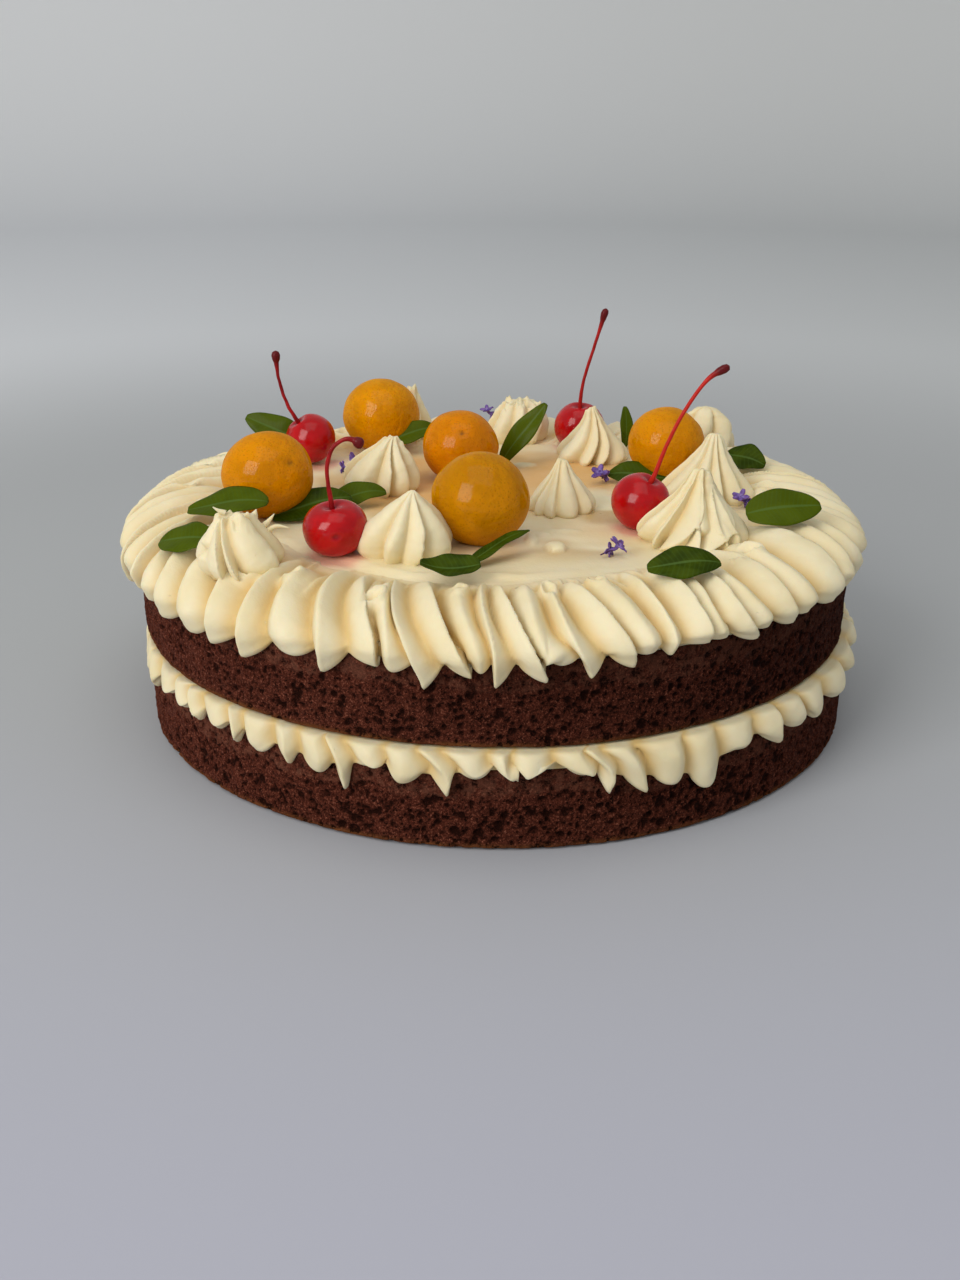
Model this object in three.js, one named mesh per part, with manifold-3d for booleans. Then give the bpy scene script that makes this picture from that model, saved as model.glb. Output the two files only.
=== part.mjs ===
// A fresh cream fruit cake: two dark sponges with piped cream between and on top, and fruit, cherries, leaves and
// florets on it. Millimetres, +Z up, the origin at the middle of the underside, the side that shows facing -Y.
import * as THREE from "three";
import { mergeVertices } from "three/addons/utils/BufferGeometryUtils.js";
import Module from "manifold-3d";

const wasm = await Module();
wasm.setup();

// Heights of the layers
const LOWER_TOP = 23.5;
const UPPER_BOTTOM = 29;
const UPPER_TOP = 54;
const CREAM_TOP = 62;
const CREAM_RIM = 57;

// Radii of the layers
const LOWER_FOOT_R = 112.5;
const LOWER_TOP_R = 111.8;
const UPPER_R = 111.5;
const CREAM_R = 111.3;
const FLAT_R = 77;
const EDGE_ROUND = 1.2;
const CRUMB = 0.35;
const SPONGE_STEPS = 48;

// The piped shells: one pitch holds a broad ridge, a pointed ridge and a narrow one
const SHELLS = 33;
const SHELL_START = -94;
const BORDER_LEAN = 5;
const FILLING_LEAN = 1.5;
const HANG_TILT = 1.4;
const REACH_TILT = -0.9;
const SKIRT_GAP = 0.3;

// A ridge's section and a groove's section of the top border, as radius and height from the inside out
const BORDER_CREST = [
  [79, 62.6],
  [86, 66.8],
  [98, 68.2],
  [109.5, 64.2],
  [115.5, 57.8],
  [117.6, 51.5],
];
const BORDER_GROOVE = [
  [80.5, 62.5],
  [87, 63.4],
  [98, 64.2],
  [108, 61.3],
  [113, 57],
  [113.8, 54.2],
];
const BORDER_TIP_R = [113.6, 115.6];
const BORDER_TIP_Z = [53, 47.6];

// The same for the filling, which hangs over the lower sponge
const FILLING_CREST = [
  [115, 27.8],
  [116.9, 22],
];
const FILLING_GROOVE = [
  [112.8, 27.9],
  [113.8, 25],
];
const FILLING_TIP_R = [113.4, 115];
const FILLING_TIP_Z = [23, 17];
const FILLING_LULL = { at: -80, half: 3.5 };
const FILLING_SHARE = [0.75, 0.25];

// Each column of a shell: its place in the pitch, how far it stands out, and how far its tip hangs
const BORDER_COLUMNS = [
  { at: 0, out: 0, hang: 0 },
  { at: 0.12, out: 0.8, hang: 0.5 },
  { at: 0.3, out: 0.8, hang: 0.6 },
  { at: 0.45, out: 0.4, hang: 0.35 },
  { at: 0.6, out: 1, hang: 1 },
  { at: 0.76, out: 0.45, hang: 0.3 },
  { at: 0.89, out: 0.9, hang: 0.7 },
];
const FILLING_COLUMNS = [
  { at: 0, out: 0, hang: 0 },
  { at: 0.13, out: 0.85, hang: 0.45 },
  { at: 0.36, out: 0.75, hang: 0.5 },
  { at: 0.62, out: 1, hang: 1 },
  { at: 0.82, out: 0.55, hang: 0.3 },
];

// Toppings: places on the top, radii and heights. lean is how far the peak stands off the middle.
const KISS_RIBS = 8;
const KISSES = [
  { name: "kiss_1", x: -68, y: -72, r: 12.3, h: 19.5, lean: [-1, 1], turn: 10 },
  { name: "kiss_2", x: -39.5, y: 11, r: 13.2, h: 19, lean: [5.5, -1], turn: 24 },
  { name: "kiss_3", x: -25.2, y: -55, r: 12.8, h: 19.5, lean: [2, 0], turn: 0 },
  { name: "kiss_4", x: 7.5, y: 82, r: 12.2, h: 16, lean: [0, 0], turn: 30 },
  { name: "kiss_5", x: 33.5, y: 55, r: 13.2, h: 18.5, lean: [-1, 0], turn: 16 },
  { name: "kiss_6", x: 19.5, y: -9, r: 11, h: 16.5, lean: [1, 1], turn: 5 },
  { name: "kiss_7", x: 68.5, y: 9, r: 14.6, h: 20.5, lean: [2, 0], turn: 12 },
  { name: "kiss_8", x: 58, y: -39, r: 15.2, h: 22, lean: [3, 0], turn: 28 },
  { name: "kiss_9", x: 75, y: 62, r: 10.5, h: 18.5, lean: [1, 0], turn: 40 },
  { name: "kiss_10", x: -34, y: 83, r: 9.8, h: 20.5, lean: [1.5, 0], turn: 18 },
];
const FRUIT_SINK = 1;
const FRUITS = [
  { name: "fruit_1", x: -43, y: 67, r: 13.9 },
  { name: "fruit_2", x: -71, y: -16, r: 14 },
  { name: "fruit_3", x: -13, y: 26.5, r: 12.8 },
  { name: "fruit_4", x: -5, y: -41, r: 14.3 },
  { name: "fruit_5", x: 56.6, y: 31, r: 13 },
];
const STEM_R = 0.85;
const KNOB_R = 1.9;
const DIMPLE = 1.8;
// z is the middle's height; tilt leans the dimple; stem is its run beyond the dimple, as steps right and up
const CHERRIES = [
  { name: "cherry_1", x: -45.6, y: -54.5, z: 70, r: 9, tilt: -8,
    stem: [[-0.4, 5], [-0.2, 9.5], [1.6, 13.6], [5.2, 15.8], [9, 13.2]] },
  { name: "cherry_2", x: -66, y: 44, z: 71, r: 8.8, tilt: -32,
    stem: [[-2.6, 5], [-4.8, 13], [-5.6, 22]] },
  { name: "cherry_3", x: 29.5, y: 74, z: 69, r: 9.4, tilt: 0,
    stem: [[1.2, 8], [4.4, 19], [8.2, 32.5]] },
  { name: "cherry_4", x: 43, y: -26.7, z: 70, r: 9, tilt: 22,
    stem: [[3, 8.5], [7.6, 18.5], [13.6, 27.5], [19.8, 31.6]] },
];
// A leaf's heading is where its tip points, rise lifts the tip, roll turns its face and fold bends its two halves up.
// A leaf with a z leans on a fruit at that height, and the others lie on the cream.
const LEAF_THICK = 0.7;
const LEAVES = [
  { name: "leaf_1", x: -79, y: 50, length: 24, width: 11, heading: 170, rise: 22, roll: -58, fold: 10 },
  { name: "leaf_2", x: -88, y: -59, length: 21, width: 12.5, heading: 160, rise: -8, roll: -28, fold: 12 },
  { name: "leaf_3", x: -80, y: -33, length: 25, width: 12.5, heading: 175, rise: -8, roll: -36, fold: 14 },
  { name: "leaf_4", x: -58, y: -21, length: 23, width: 12.5, heading: 28, rise: 10, roll: 34, fold: 14 },
  { name: "leaf_5", x: -46.5, y: -9, length: 23, width: 10.5, heading: 12, rise: 8, roll: 36, fold: 20 },
  { name: "leaf_6", x: -12, y: -74, length: 19.5, width: 11, heading: 186, rise: 6, roll: -24, fold: 42 },
  { name: "leaf_7", x: 3.5, y: -59, length: 24, width: 8, heading: 38, rise: 10, roll: 50, fold: 16 },
  { name: "leaf_8", x: 7.5, y: 45, length: 27, width: 9.5, heading: 4, rise: 54, roll: 58, fold: 18 },
  { name: "leaf_9", x: -31.5, y: 57, z: 70, length: 19, width: 8.5, heading: 14, rise: 14, roll: 42, fold: 20 },
  { name: "leaf_10", x: 46, y: 66, length: 15, width: 7, heading: 95, rise: 76, roll: 12, fold: 20 },
  { name: "leaf_11", x: 47, y: 21, length: 21, width: 9.5, heading: 176, rise: 3, roll: -46, fold: 16 },
  { name: "leaf_12", x: 83, y: 28, length: 14.5, width: 11, heading: -28, rise: -8, roll: 34, fold: 16 },
  { name: "leaf_13", x: 84.5, y: -35, length: 23.5, width: 12.8, heading: 10, rise: 4, roll: 36, fold: 10 },
  { name: "leaf_14", x: 49.5, y: -83, length: 20, width: 10.8, heading: 188, rise: -2, roll: -30, fold: 12 },
];
const FLORETS = [
  { name: "floret_1", x: -52, y: 34, long: 9, r: 1.9, heading: 38, rise: 18 },
  { name: "floret_2", x: -4.5, y: 94, long: 6, r: 2.4, heading: 200, rise: 40 },
  { name: "floret_3", x: 34, y: 21, long: 6.5, r: 3.2, heading: 250, rise: 42 },
  { name: "floret_4", x: 77, y: -6, long: 7, r: 2.7, heading: 235, rise: 30 },
  { name: "floret_5", x: 33.5, y: -56, long: 7.5, r: 2.9, heading: 20, rise: 24 },
];

const CUT_GAP = 0.3;
const REST_GAP = 0.12;

const COLOURS = {
  sponge: 0x3f1c12,
  cream: 0xf3e8c4,
  fruit: 0xe79a12,
  cherry: 0xc50f1c,
  stem: 0xa01320,
  leaf: 0x2f6020,
  floret: 0x5c4a96,
};

const radians = THREE.MathUtils.degToRad;
const mix = THREE.MathUtils.lerp;

// The same number between 0 and 1 each time for one seed
function draw(seed) {
  const wave = Math.sin(seed * 12.9898) * 43758.5453;
  return wave - Math.floor(wave);
}

function spread(seed, amount) {
  return (2 * draw(seed) - 1) * amount;
}

function finish(colour, roughness) {
  return new THREE.MeshStandardMaterial({ color: colour, roughness, metalness: 0 });
}

// Makes a geometry from points and triangles, turned to face out
function surface(points, triangles) {
  let volume = 0;
  const cross = new THREE.Vector3();
  for (const [a, b, c] of triangles) {
    volume += points[a].dot(cross.crossVectors(points[b], points[c]));
  }
  const outward = volume > 0 ? triangles : triangles.map(([a, b, c]) => [a, c, b]);
  const geometry = new THREE.BufferGeometry().setFromPoints(points);
  geometry.setIndex(outward.flat());
  return geometry;
}

// Two triangles for each cell between neighbouring rings of equal count
function cells(from, to, count) {
  const triangles = [];
  for (let i = 0; i < count; i++) {
    const j = (i + 1) % count;
    triangles.push([from + i, from + j, to + j], [from + i, to + j, to + i]);
  }
  return triangles;
}

// A closed skin over a stack of rings, with a middle point at each end
function stack(rings, first, last) {
  const count = rings[0].length;
  const points = [...rings.flat(), first, last];
  const triangles = [];
  for (let k = 0; k + 1 < rings.length; k++) {
    triangles.push(...cells(k * count, (k + 1) * count, count));
  }
  const end = (rings.length - 1) * count;
  for (let i = 0; i < count; i++) {
    const j = (i + 1) % count;
    triangles.push([j, i, rings.length * count]);
    triangles.push([end + i, end + j, rings.length * count + 1]);
  }
  return surface(points, triangles);
}

// A closed ring of sections, each a closed loop of points
function hoop(sections) {
  const count = sections[0].length;
  const triangles = [];
  for (let k = 0; k < sections.length; k++) {
    triangles.push(...cells(k * count, ((k + 1) % sections.length) * count, count));
  }
  return surface(sections.flat(), triangles);
}

function polar(radius, degrees, z) {
  const angle = radians(degrees);
  return new THREE.Vector3(radius * Math.cos(angle), radius * Math.sin(angle), z);
}

function circle(radius, z, count, wobble = 0, seed = 0) {
  return Array.from({ length: count }, (_, i) =>
    polar(radius + spread(seed + i, wobble), (360 * i) / count, z),
  );
}

// A sponge with softened edges and an uneven side
function spongeGeometry(bottom, top, footR, topR, seed) {
  const side = (z, inset, number) => {
    const radius = mix(footR, topR, (z - bottom) / (top - bottom)) - inset;
    return circle(radius - CRUMB, z, SPONGE_STEPS, CRUMB, seed + number * SPONGE_STEPS);
  };
  const rings = [
    side(bottom, EDGE_ROUND, 0),
    side(bottom + EDGE_ROUND, 0, 1),
    side((bottom + top) / 2, 0, 2),
    side(top - EDGE_ROUND, 0, 3),
    side(top, EDGE_ROUND, 4),
  ];
  return stack(rings, new THREE.Vector3(0, 0, bottom), new THREE.Vector3(0, 0, top));
}

// The spread cream: flat in the middle and falling to its rim
function creamTopGeometry() {
  const rings = [
    circle(CREAM_R, UPPER_TOP, SPONGE_STEPS),
    circle(CREAM_R, CREAM_RIM, SPONGE_STEPS),
    circle(FLAT_R, CREAM_TOP, SPONGE_STEPS),
  ];
  return stack(rings, new THREE.Vector3(0, 0, UPPER_TOP), new THREE.Vector3(0, 0, CREAM_TOP));
}

// How far shell number k differs from the usual one
function shellDraw(k, seed) {
  return {
    slide: spread(seed + k, 0.9),
    size: 1 + spread(seed + 100 + k, 0.12),
    hang: spread(seed + 200 + k, 1.6),
  };
}

// The visible run of one column, from the inside out, between the groove's section and the ridge's
function columnRun(crest, groove, out, degrees, lean, drop = 0, reach = 0) {
  return crest.map(([crestR, crestZ], j) => {
    const [grooveR, grooveZ] = groove[j];
    const along = j / (crest.length - 1);
    const radius = mix(grooveR, crestR + reach * along, out);
    const z = mix(grooveZ, crestZ, out) + drop * along * along;
    return polar(radius, degrees + lean * (along - 1), z);
  });
}

function eachColumn(columns, seed, build) {
  const sections = [];
  for (let k = 0; k < SHELLS; k++) {
    const shell = shellDraw(k, seed);
    for (const column of columns) {
      const degrees = SHELL_START + ((k + column.at) * 360) / SHELLS + shell.slide * Math.sin(Math.PI * column.at);
      sections.push(build(column, shell, degrees));
    }
  }
  return sections;
}

// The cream ring piped round the top, hanging over the side of the upper sponge
function borderGeometry() {
  const inner = UPPER_R + SKIRT_GAP;
  const sections = eachColumn(BORDER_COLUMNS, 11, (column, shell, degrees) => {
    const drop = HANG_TILT * Math.cos(radians(degrees));
    const reach = REACH_TILT * Math.cos(radians(degrees));
    const out = Math.min(1, column.out * shell.size);
    const run = columnRun(BORDER_CREST, BORDER_GROOVE, out, degrees, BORDER_LEAN, drop, reach);
    const tipZ = mix(BORDER_TIP_Z[0], BORDER_TIP_Z[1] + shell.hang, column.hang) + drop;
    const tipR = mix(BORDER_TIP_R[0], BORDER_TIP_R[1] + reach, column.hang);
    return [
      ...run,
      polar(tipR, degrees, tipZ),
      polar(inner, degrees, tipZ + 1),
      polar(inner, degrees, CREAM_RIM + SKIRT_GAP),
    ];
  });
  return hoop(sections);
}

// The filling: a disc between the sponges whose ruffled edge hangs outside the lower one
function fillingGeometry() {
  const inner = LOWER_TOP_R + SKIRT_GAP;
  const sections = eachColumn(FILLING_COLUMNS, 411, (column, shell, degrees) => {
    const away = Math.abs(degrees - FILLING_LULL.at) / FILLING_LULL.half;
    const calm = away < 1 ? 0.35 : 1;
    const share = FILLING_SHARE[0] + FILLING_SHARE[1] * Math.cos(radians(degrees));
    const out = Math.min(1, column.out * shell.size) * calm * share;
    const run = columnRun(FILLING_CREST, FILLING_GROOVE, out, degrees, FILLING_LEAN);
    const hang = column.hang * calm;
    const tipZ = mix(FILLING_TIP_Z[0], FILLING_TIP_Z[1] + shell.hang, hang);
    return [
      polar(UPPER_R - EDGE_ROUND, degrees, UPPER_BOTTOM),
      ...run,
      polar(mix(FILLING_TIP_R[0], FILLING_TIP_R[1], hang), degrees, tipZ),
      polar(inner, degrees, tipZ + 0.6),
      polar(inner, degrees, LOWER_TOP),
    ];
  });
  const rings = sections[0].map((_, j) => sections.map((section) => section[j]));
  return stack(rings, new THREE.Vector3(0, 0, UPPER_BOTTOM), new THREE.Vector3(0, 0, LOWER_TOP));
}

// A piped kiss: a ribbed foot that bulges, then draws in to a leaning peak
function kissGeometry({ r, h, lean, turn }, seed) {
  const levels = [
    [0, 0.84],
    [0.15, 1],
    [0.42, 0.8],
    [0.7, 0.42],
    [0.92, 0.14],
  ];
  const columns = KISS_RIBS * 2;
  const rings = levels.map(([t, width]) =>
    Array.from({ length: columns }, (_, i) => {
      const ridge = i % 2 === 0;
      const radius = r * width * (ridge ? 1 + spread(seed + i, 0.06) : 0.74);
      const point = polar(radius, turn + (360 * i) / columns + 34 * t, h * t);
      return point.add(new THREE.Vector3(lean[0] * t * t, lean[1] * t * t, 0));
    }),
  );
  return stack(rings, new THREE.Vector3(0, 0, 0), new THREE.Vector3(lean[0], lean[1], h));
}

// A round fruit about its own middle, a little uneven; dimple draws the top in
function ballGeometry(r, columns, levels, dimple, seed) {
  const rings = [];
  for (let k = 1; k < levels; k++) {
    const polarAngle = Math.PI * (1 - k / levels);
    const pull = dimple * Math.exp(-Math.pow(polarAngle / 0.42, 2));
    const bump = 1 + spread(seed + k, 0.012);
    rings.push(
      circle(r * bump * Math.sin(polarAngle), r * Math.cos(polarAngle) - pull, columns),
    );
  }
  return stack(rings, new THREE.Vector3(0, 0, -r), new THREE.Vector3(0, 0, r - dimple));
}

// A round rod whose radius changes along a smooth path, with closed ends
function rodGeometry(places, radii, sides) {
  const curve = new THREE.CatmullRomCurve3(places);
  const steps = radii.length - 1;
  const frames = curve.computeFrenetFrames(steps, false);
  const rings = radii.map((radius, k) => {
    const middle = curve.getPointAt(k / steps);
    return Array.from({ length: sides }, (_, i) => {
      const angle = (2 * Math.PI * i) / sides;
      return middle
        .clone()
        .addScaledVector(frames.normals[k], radius * Math.cos(angle))
        .addScaledVector(frames.binormals[k], radius * Math.sin(angle));
    });
  });
  return stack(rings, curve.getPointAt(0), curve.getPointAt(1));
}

// A leaf about its own middle, its tip towards +X: a pointed oval, folded along its midrib and waved
function leafGeometry({ length, width, fold }, thick, seed) {
  const stations = 5;
  const raise = Math.tan(radians(fold));
  const faces = [];
  for (const side of [0.5, -0.5]) {
    const points = [];
    for (let k = 0; k <= stations; k++) {
      const t = k / stations;
      const half = (width / 2) * Math.pow(Math.sin(Math.PI * Math.min(1, 0.03 + 0.94 * t)), 0.8);
      const wave = spread(seed, 0.5) * Math.sin(2 * Math.PI * t) - 1.4 * Math.pow(2 * t - 1, 2);
      for (const across of [-1, 0, 1]) {
        const y = across * half;
        points.push(new THREE.Vector3(length * (t - 0.5), y, Math.abs(y) * raise + wave + side * thick));
      }
    }
    faces.push(points);
  }
  const under = faces[0].length;
  const triangles = [];
  for (let k = 0; k < stations; k++) {
    for (const across of [0, 1]) {
      const a = 3 * k + across;
      const b = a + 3;
      triangles.push([a, b, b + 1], [a, b + 1, a + 1]);
      triangles.push([under + a, under + b + 1, under + b], [under + a, under + a + 1, under + b + 1]);
    }
  }
  const rim = [];
  for (let k = 0; k <= stations; k++) rim.push(3 * k);
  rim.push(3 * stations + 1);
  for (let k = stations; k >= 0; k--) rim.push(3 * k + 2);
  rim.push(1);
  rim.forEach((a, i) => {
    const b = rim[(i + 1) % rim.length];
    triangles.push([b, a, under + a], [b, under + a, under + b]);
  });
  return surface(faces.flat(), triangles);
}

// A floret lying along +X: a narrow tube that opens into five lobes
function floretGeometry({ long, r }) {
  const levels = [
    [0, 0.3, 0.3],
    [0.45, 0.42, 0.36],
    [0.8, 1, 0.5],
    [1, 0.85, 0.35],
  ];
  const lobes = 5;
  const rings = levels.map(([t, ridge, groove]) =>
    Array.from({ length: lobes * 2 }, (_, i) => {
      const radius = r * (i % 2 === 0 ? ridge : groove);
      const angle = (Math.PI * i) / lobes;
      return new THREE.Vector3(long * (t - 0.5), radius * Math.cos(angle), radius * Math.sin(angle));
    }),
  );
  return stack(rings, new THREE.Vector3(-long / 2, 0, 0), new THREE.Vector3(long * 0.38, 0, 0));
}

// The border's height and reach over all its ridges, closed below, as a tool to cut the toppings with
function envelopeGeometry() {
  const crest = [...BORDER_CREST, [BORDER_CREST.at(-1)[0], LOWER_TOP]];
  const rings = crest.map(([radius, z], j) => {
    const along = Math.min(1, j / (BORDER_CREST.length - 1));
    return Array.from({ length: SPONGE_STEPS }, (_, i) => {
      const degrees = (360 * i) / SPONGE_STEPS;
      const drop = HANG_TILT * Math.cos(radians(degrees)) * along * along;
      const reach = REACH_TILT * Math.cos(radians(degrees)) * along + CUT_GAP;
      return polar((radius + reach) / Math.cos(Math.PI / SPONGE_STEPS), degrees, z + CUT_GAP + drop);
    });
  });
  return stack(rings, new THREE.Vector3(0, 0, CREAM_TOP + CUT_GAP), new THREE.Vector3(0, 0, LOWER_TOP));
}

// A geometry as a solid where the mesh stands
function solidOf(mesh, geometry = mesh.geometry) {
  mesh.updateMatrix();
  const placed = geometry.clone().applyMatrix4(mesh.matrix);
  placed.deleteAttribute("normal");
  placed.deleteAttribute("uv");
  const merged = mergeVertices(placed, 1e-4);
  return new wasm.Manifold(
    new wasm.Mesh({
      numProp: 3,
      vertProperties: new Float32Array(merged.attributes.position.array),
      triVerts: new Uint32Array(merged.index.array),
    }),
  );
}

// Gives the mesh the largest body of a solid that stands in the cake's own place
function setSolid(mesh, solid) {
  const largest = solid.decompose().reduce((a, b) => (a.volume() > b.volume() ? a : b));
  const cut = largest.getMesh();
  const positions = new Float32Array(cut.numVert * 3);
  for (let i = 0; i < cut.numVert; i++) {
    const start = i * cut.numProp;
    positions.set(cut.vertProperties.subarray(start, start + 3), i * 3);
  }
  const geometry = new THREE.BufferGeometry();
  geometry.setAttribute("position", new THREE.BufferAttribute(positions, 3));
  geometry.setIndex(new THREE.BufferAttribute(new Uint32Array(cut.triVerts), 1));
  mesh.geometry = geometry.applyMatrix4(mesh.matrix.clone().invert());
}

// Takes the cutters that a mesh reaches into off it
function trim(mesh, cutters) {
  const whole = solidOf(mesh);
  let rest = whole;
  for (const cutter of cutters) {
    if (rest.intersect(cutter).volume() > 0) rest = rest.subtract(cutter);
  }
  if (rest !== whole) setSolid(mesh, rest);
}

// Lowers or lifts a mesh until it lies just clear of what carries it
function rest(mesh, support) {
  const solid = solidOf(mesh);
  const hits = (dz) => support.intersect(solid.translate(0, 0, dz)).volume() > 1e-5;
  let free = 30;
  let blocked = -30;
  for (let step = 0; step < 14; step++) {
    const middle = (free + blocked) / 2;
    if (hits(middle)) blocked = middle;
    else free = middle;
  }
  mesh.position.z += free + REST_GAP;
}

const cake = new THREE.Group();
cake.name = "fresh_cream_fruit_cake";

function add(name, geometry, material, parent = cake) {
  const mesh = new THREE.Mesh(geometry, material);
  mesh.name = name;
  parent.add(mesh);
  return mesh;
}

const sponge = finish(COLOURS.sponge, 0.95);
const cream = finish(COLOURS.cream, 0.5);
add("lower_sponge", spongeGeometry(0, LOWER_TOP, LOWER_FOOT_R, LOWER_TOP_R, 1000), sponge);
add("filling", fillingGeometry(), cream);
add("upper_sponge", spongeGeometry(UPPER_BOTTOM, UPPER_TOP, UPPER_R, UPPER_R, 2000), sponge);
const creamTop = add("cream_top", creamTopGeometry(), cream);
const border = add("cream_border", borderGeometry(), cream);

const bed = solidOf(creamTop).add(solidOf(border));
const bedCutter = solidOf(new THREE.Mesh(envelopeGeometry()));
const toppings = new THREE.Group();
toppings.name = "toppings";
cake.add(toppings);
const cutters = [];

FRUITS.forEach((fruit, index) => {
  const mesh = add(fruit.name, ballGeometry(fruit.r, 14, 8, 0, index), finish(COLOURS.fruit, 0.3), toppings);
  mesh.position.set(fruit.x, fruit.y, CREAM_TOP + fruit.r - FRUIT_SINK);
  trim(mesh, [bedCutter]);
  cutters.push(solidOf(mesh, ballGeometry(fruit.r + CUT_GAP, 14, 8, 0, index)));
});

CHERRIES.forEach((cherry, index) => {
  const mesh = add(cherry.name, ballGeometry(cherry.r, 12, 8, DIMPLE, 50 + index), finish(COLOURS.cherry, 0.15), toppings);
  mesh.position.set(cherry.x, cherry.y, cherry.z);
  mesh.rotation.y = radians(cherry.tilt);
  trim(mesh, [bedCutter, ...cutters]);
  cutters.push(solidOf(mesh, ballGeometry(cherry.r + CUT_GAP, 12, 8, 0, 50 + index)));

  const start = new THREE.Vector3(0, 0, cherry.r - DIMPLE + CUT_GAP).applyEuler(mesh.rotation);
  const rim = new THREE.Vector3(0, 0, cherry.r + 1).applyEuler(mesh.rotation);
  const places = [start, rim, ...cherry.stem.map(([right, up]) => new THREE.Vector3(rim.x + right, 0, rim.z + up))];
  const radii = [STEM_R, STEM_R, STEM_R, STEM_R, STEM_R, STEM_R, STEM_R, STEM_R, STEM_R, KNOB_R, KNOB_R * 0.8];
  const stem = add(cherry.name + "_stem", rodGeometry(places, radii, 6), finish(COLOURS.stem, 0.4), toppings);
  stem.position.copy(mesh.position);
});

KISSES.forEach((kiss, index) => {
  const geometry = kissGeometry(kiss, 300 + index * 40);
  const mesh = add(kiss.name, geometry, cream, toppings);
  mesh.position.set(kiss.x, kiss.y, CREAM_TOP);
  const grown = solidOf(mesh, geometry.clone().scale(1.03, 1.03, 1.02));
  trim(mesh, [bedCutter, ...cutters]);
  cutters.push(grown);
});

function place(item, mesh) {
  mesh.rotation.set(radians(item.roll ?? 0), radians(-item.rise), radians(item.heading), "ZYX");
  mesh.position.set(item.x, item.y, item.z ?? CREAM_TOP);
  if (item.z === undefined) rest(mesh, bed);
  trim(mesh, cutters);
}

LEAVES.forEach((leaf, index) => {
  const mesh = add(leaf.name, leafGeometry(leaf, LEAF_THICK, 70 + index), finish(COLOURS.leaf, 0.45), toppings);
  place(leaf, mesh);
  const grown = { ...leaf, length: leaf.length + 2 * CUT_GAP, width: leaf.width + 2 * CUT_GAP };
  cutters.push(solidOf(mesh, leafGeometry(grown, LEAF_THICK + 2 * CUT_GAP, 70 + index)));
});

FLORETS.forEach((floret) => {
  const mesh = add(floret.name, floretGeometry(floret), finish(COLOURS.floret, 0.7), toppings);
  place(floret, mesh);
});

export default cake;
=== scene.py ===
"""The looks of a fresh cream fruit cake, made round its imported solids.

Shapes are worked out in millimetres, in the cake's own frame, and become metres in add_piece.
"""
import itertools
import math

import bpy
import numpy as np
from mathutils import Matrix, Vector
from numpy import clip, cos, exp, linspace, maximum, minimum, pi, radians, sin


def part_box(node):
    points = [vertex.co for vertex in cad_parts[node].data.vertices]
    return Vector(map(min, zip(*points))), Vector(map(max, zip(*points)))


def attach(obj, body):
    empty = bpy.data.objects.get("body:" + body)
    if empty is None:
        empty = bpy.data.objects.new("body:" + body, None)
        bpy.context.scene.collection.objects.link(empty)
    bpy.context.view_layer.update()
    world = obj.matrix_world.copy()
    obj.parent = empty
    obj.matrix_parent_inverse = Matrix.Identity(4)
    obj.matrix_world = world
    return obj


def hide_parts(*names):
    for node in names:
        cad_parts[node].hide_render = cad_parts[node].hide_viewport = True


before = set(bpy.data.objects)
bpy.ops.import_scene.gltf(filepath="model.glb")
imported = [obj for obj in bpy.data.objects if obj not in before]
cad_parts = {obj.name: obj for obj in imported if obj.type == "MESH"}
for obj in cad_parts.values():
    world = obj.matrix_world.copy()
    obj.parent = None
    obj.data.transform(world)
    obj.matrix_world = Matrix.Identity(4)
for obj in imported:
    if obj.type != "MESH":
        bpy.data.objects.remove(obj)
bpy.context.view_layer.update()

MM = 0.001

# Heights and radii of the layers, as in the solids
LOWER_TOP = 23.5
UPPER_BOTTOM = 29
UPPER_TOP = 54
CREAM_TOP = 62
CREAM_RIM = 57
LOWER_FOOT_R = 112.4
LOWER_TOP_R = 111.7
UPPER_R = 111.4
CREAM_R = 111.3
FLAT_R = 77

# The thin lip of the spread cream: its radius, and the middle and half width of where it shows
LIP_R = 73
LIP_AT = -110
LIP_HALF = 30

# The least radius of the piped cream at the sponges' sides, and how far the upper part sits off its solids
SKIRT_R = 112.2
UPPER_SHIFT = -1.2
UPPER_TURN = 0.6

# The piped shells round the cake
SHELLS = 33
PITCH = 360 / SHELLS
SHELL_START = -94

# How many points each large piece has round the cake and along its section
BORDER_GRID = (1480, 62)
FILLING_GRID = (1500, 26)
SPONGE_GRID = (1800, 44)
SPREAD_GRID = (380, 90)
PORES = 9000

# A crest's section and a groove's section, as radius and height from the inside out
BORDER_CREST = [
    (74, 61.8), (84, 65.0), (96, 67.2), (107.8, 65.4), (114.9, 60.8), (118.1, 54.6), (116.6, 48.2),
]
BORDER_GROOVE = [
    (74, 61.8), (85, 62.4), (96, 61.5), (104.5, 59.3), (109.9, 57.6), (112.2, 55.2), (112.3, 52.8),
]
FILLING_CREST = [(110.3, 28.8), (114.9, 28.5), (117.4, 25.4), (117.8, 21.4), (116.4, 17.5)]
FILLING_GROOVE = [(110.3, 28.8), (112.0, 28.2), (112.4, 26.8), (112.6, 25.2), (112.4, 24.0)]

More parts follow.
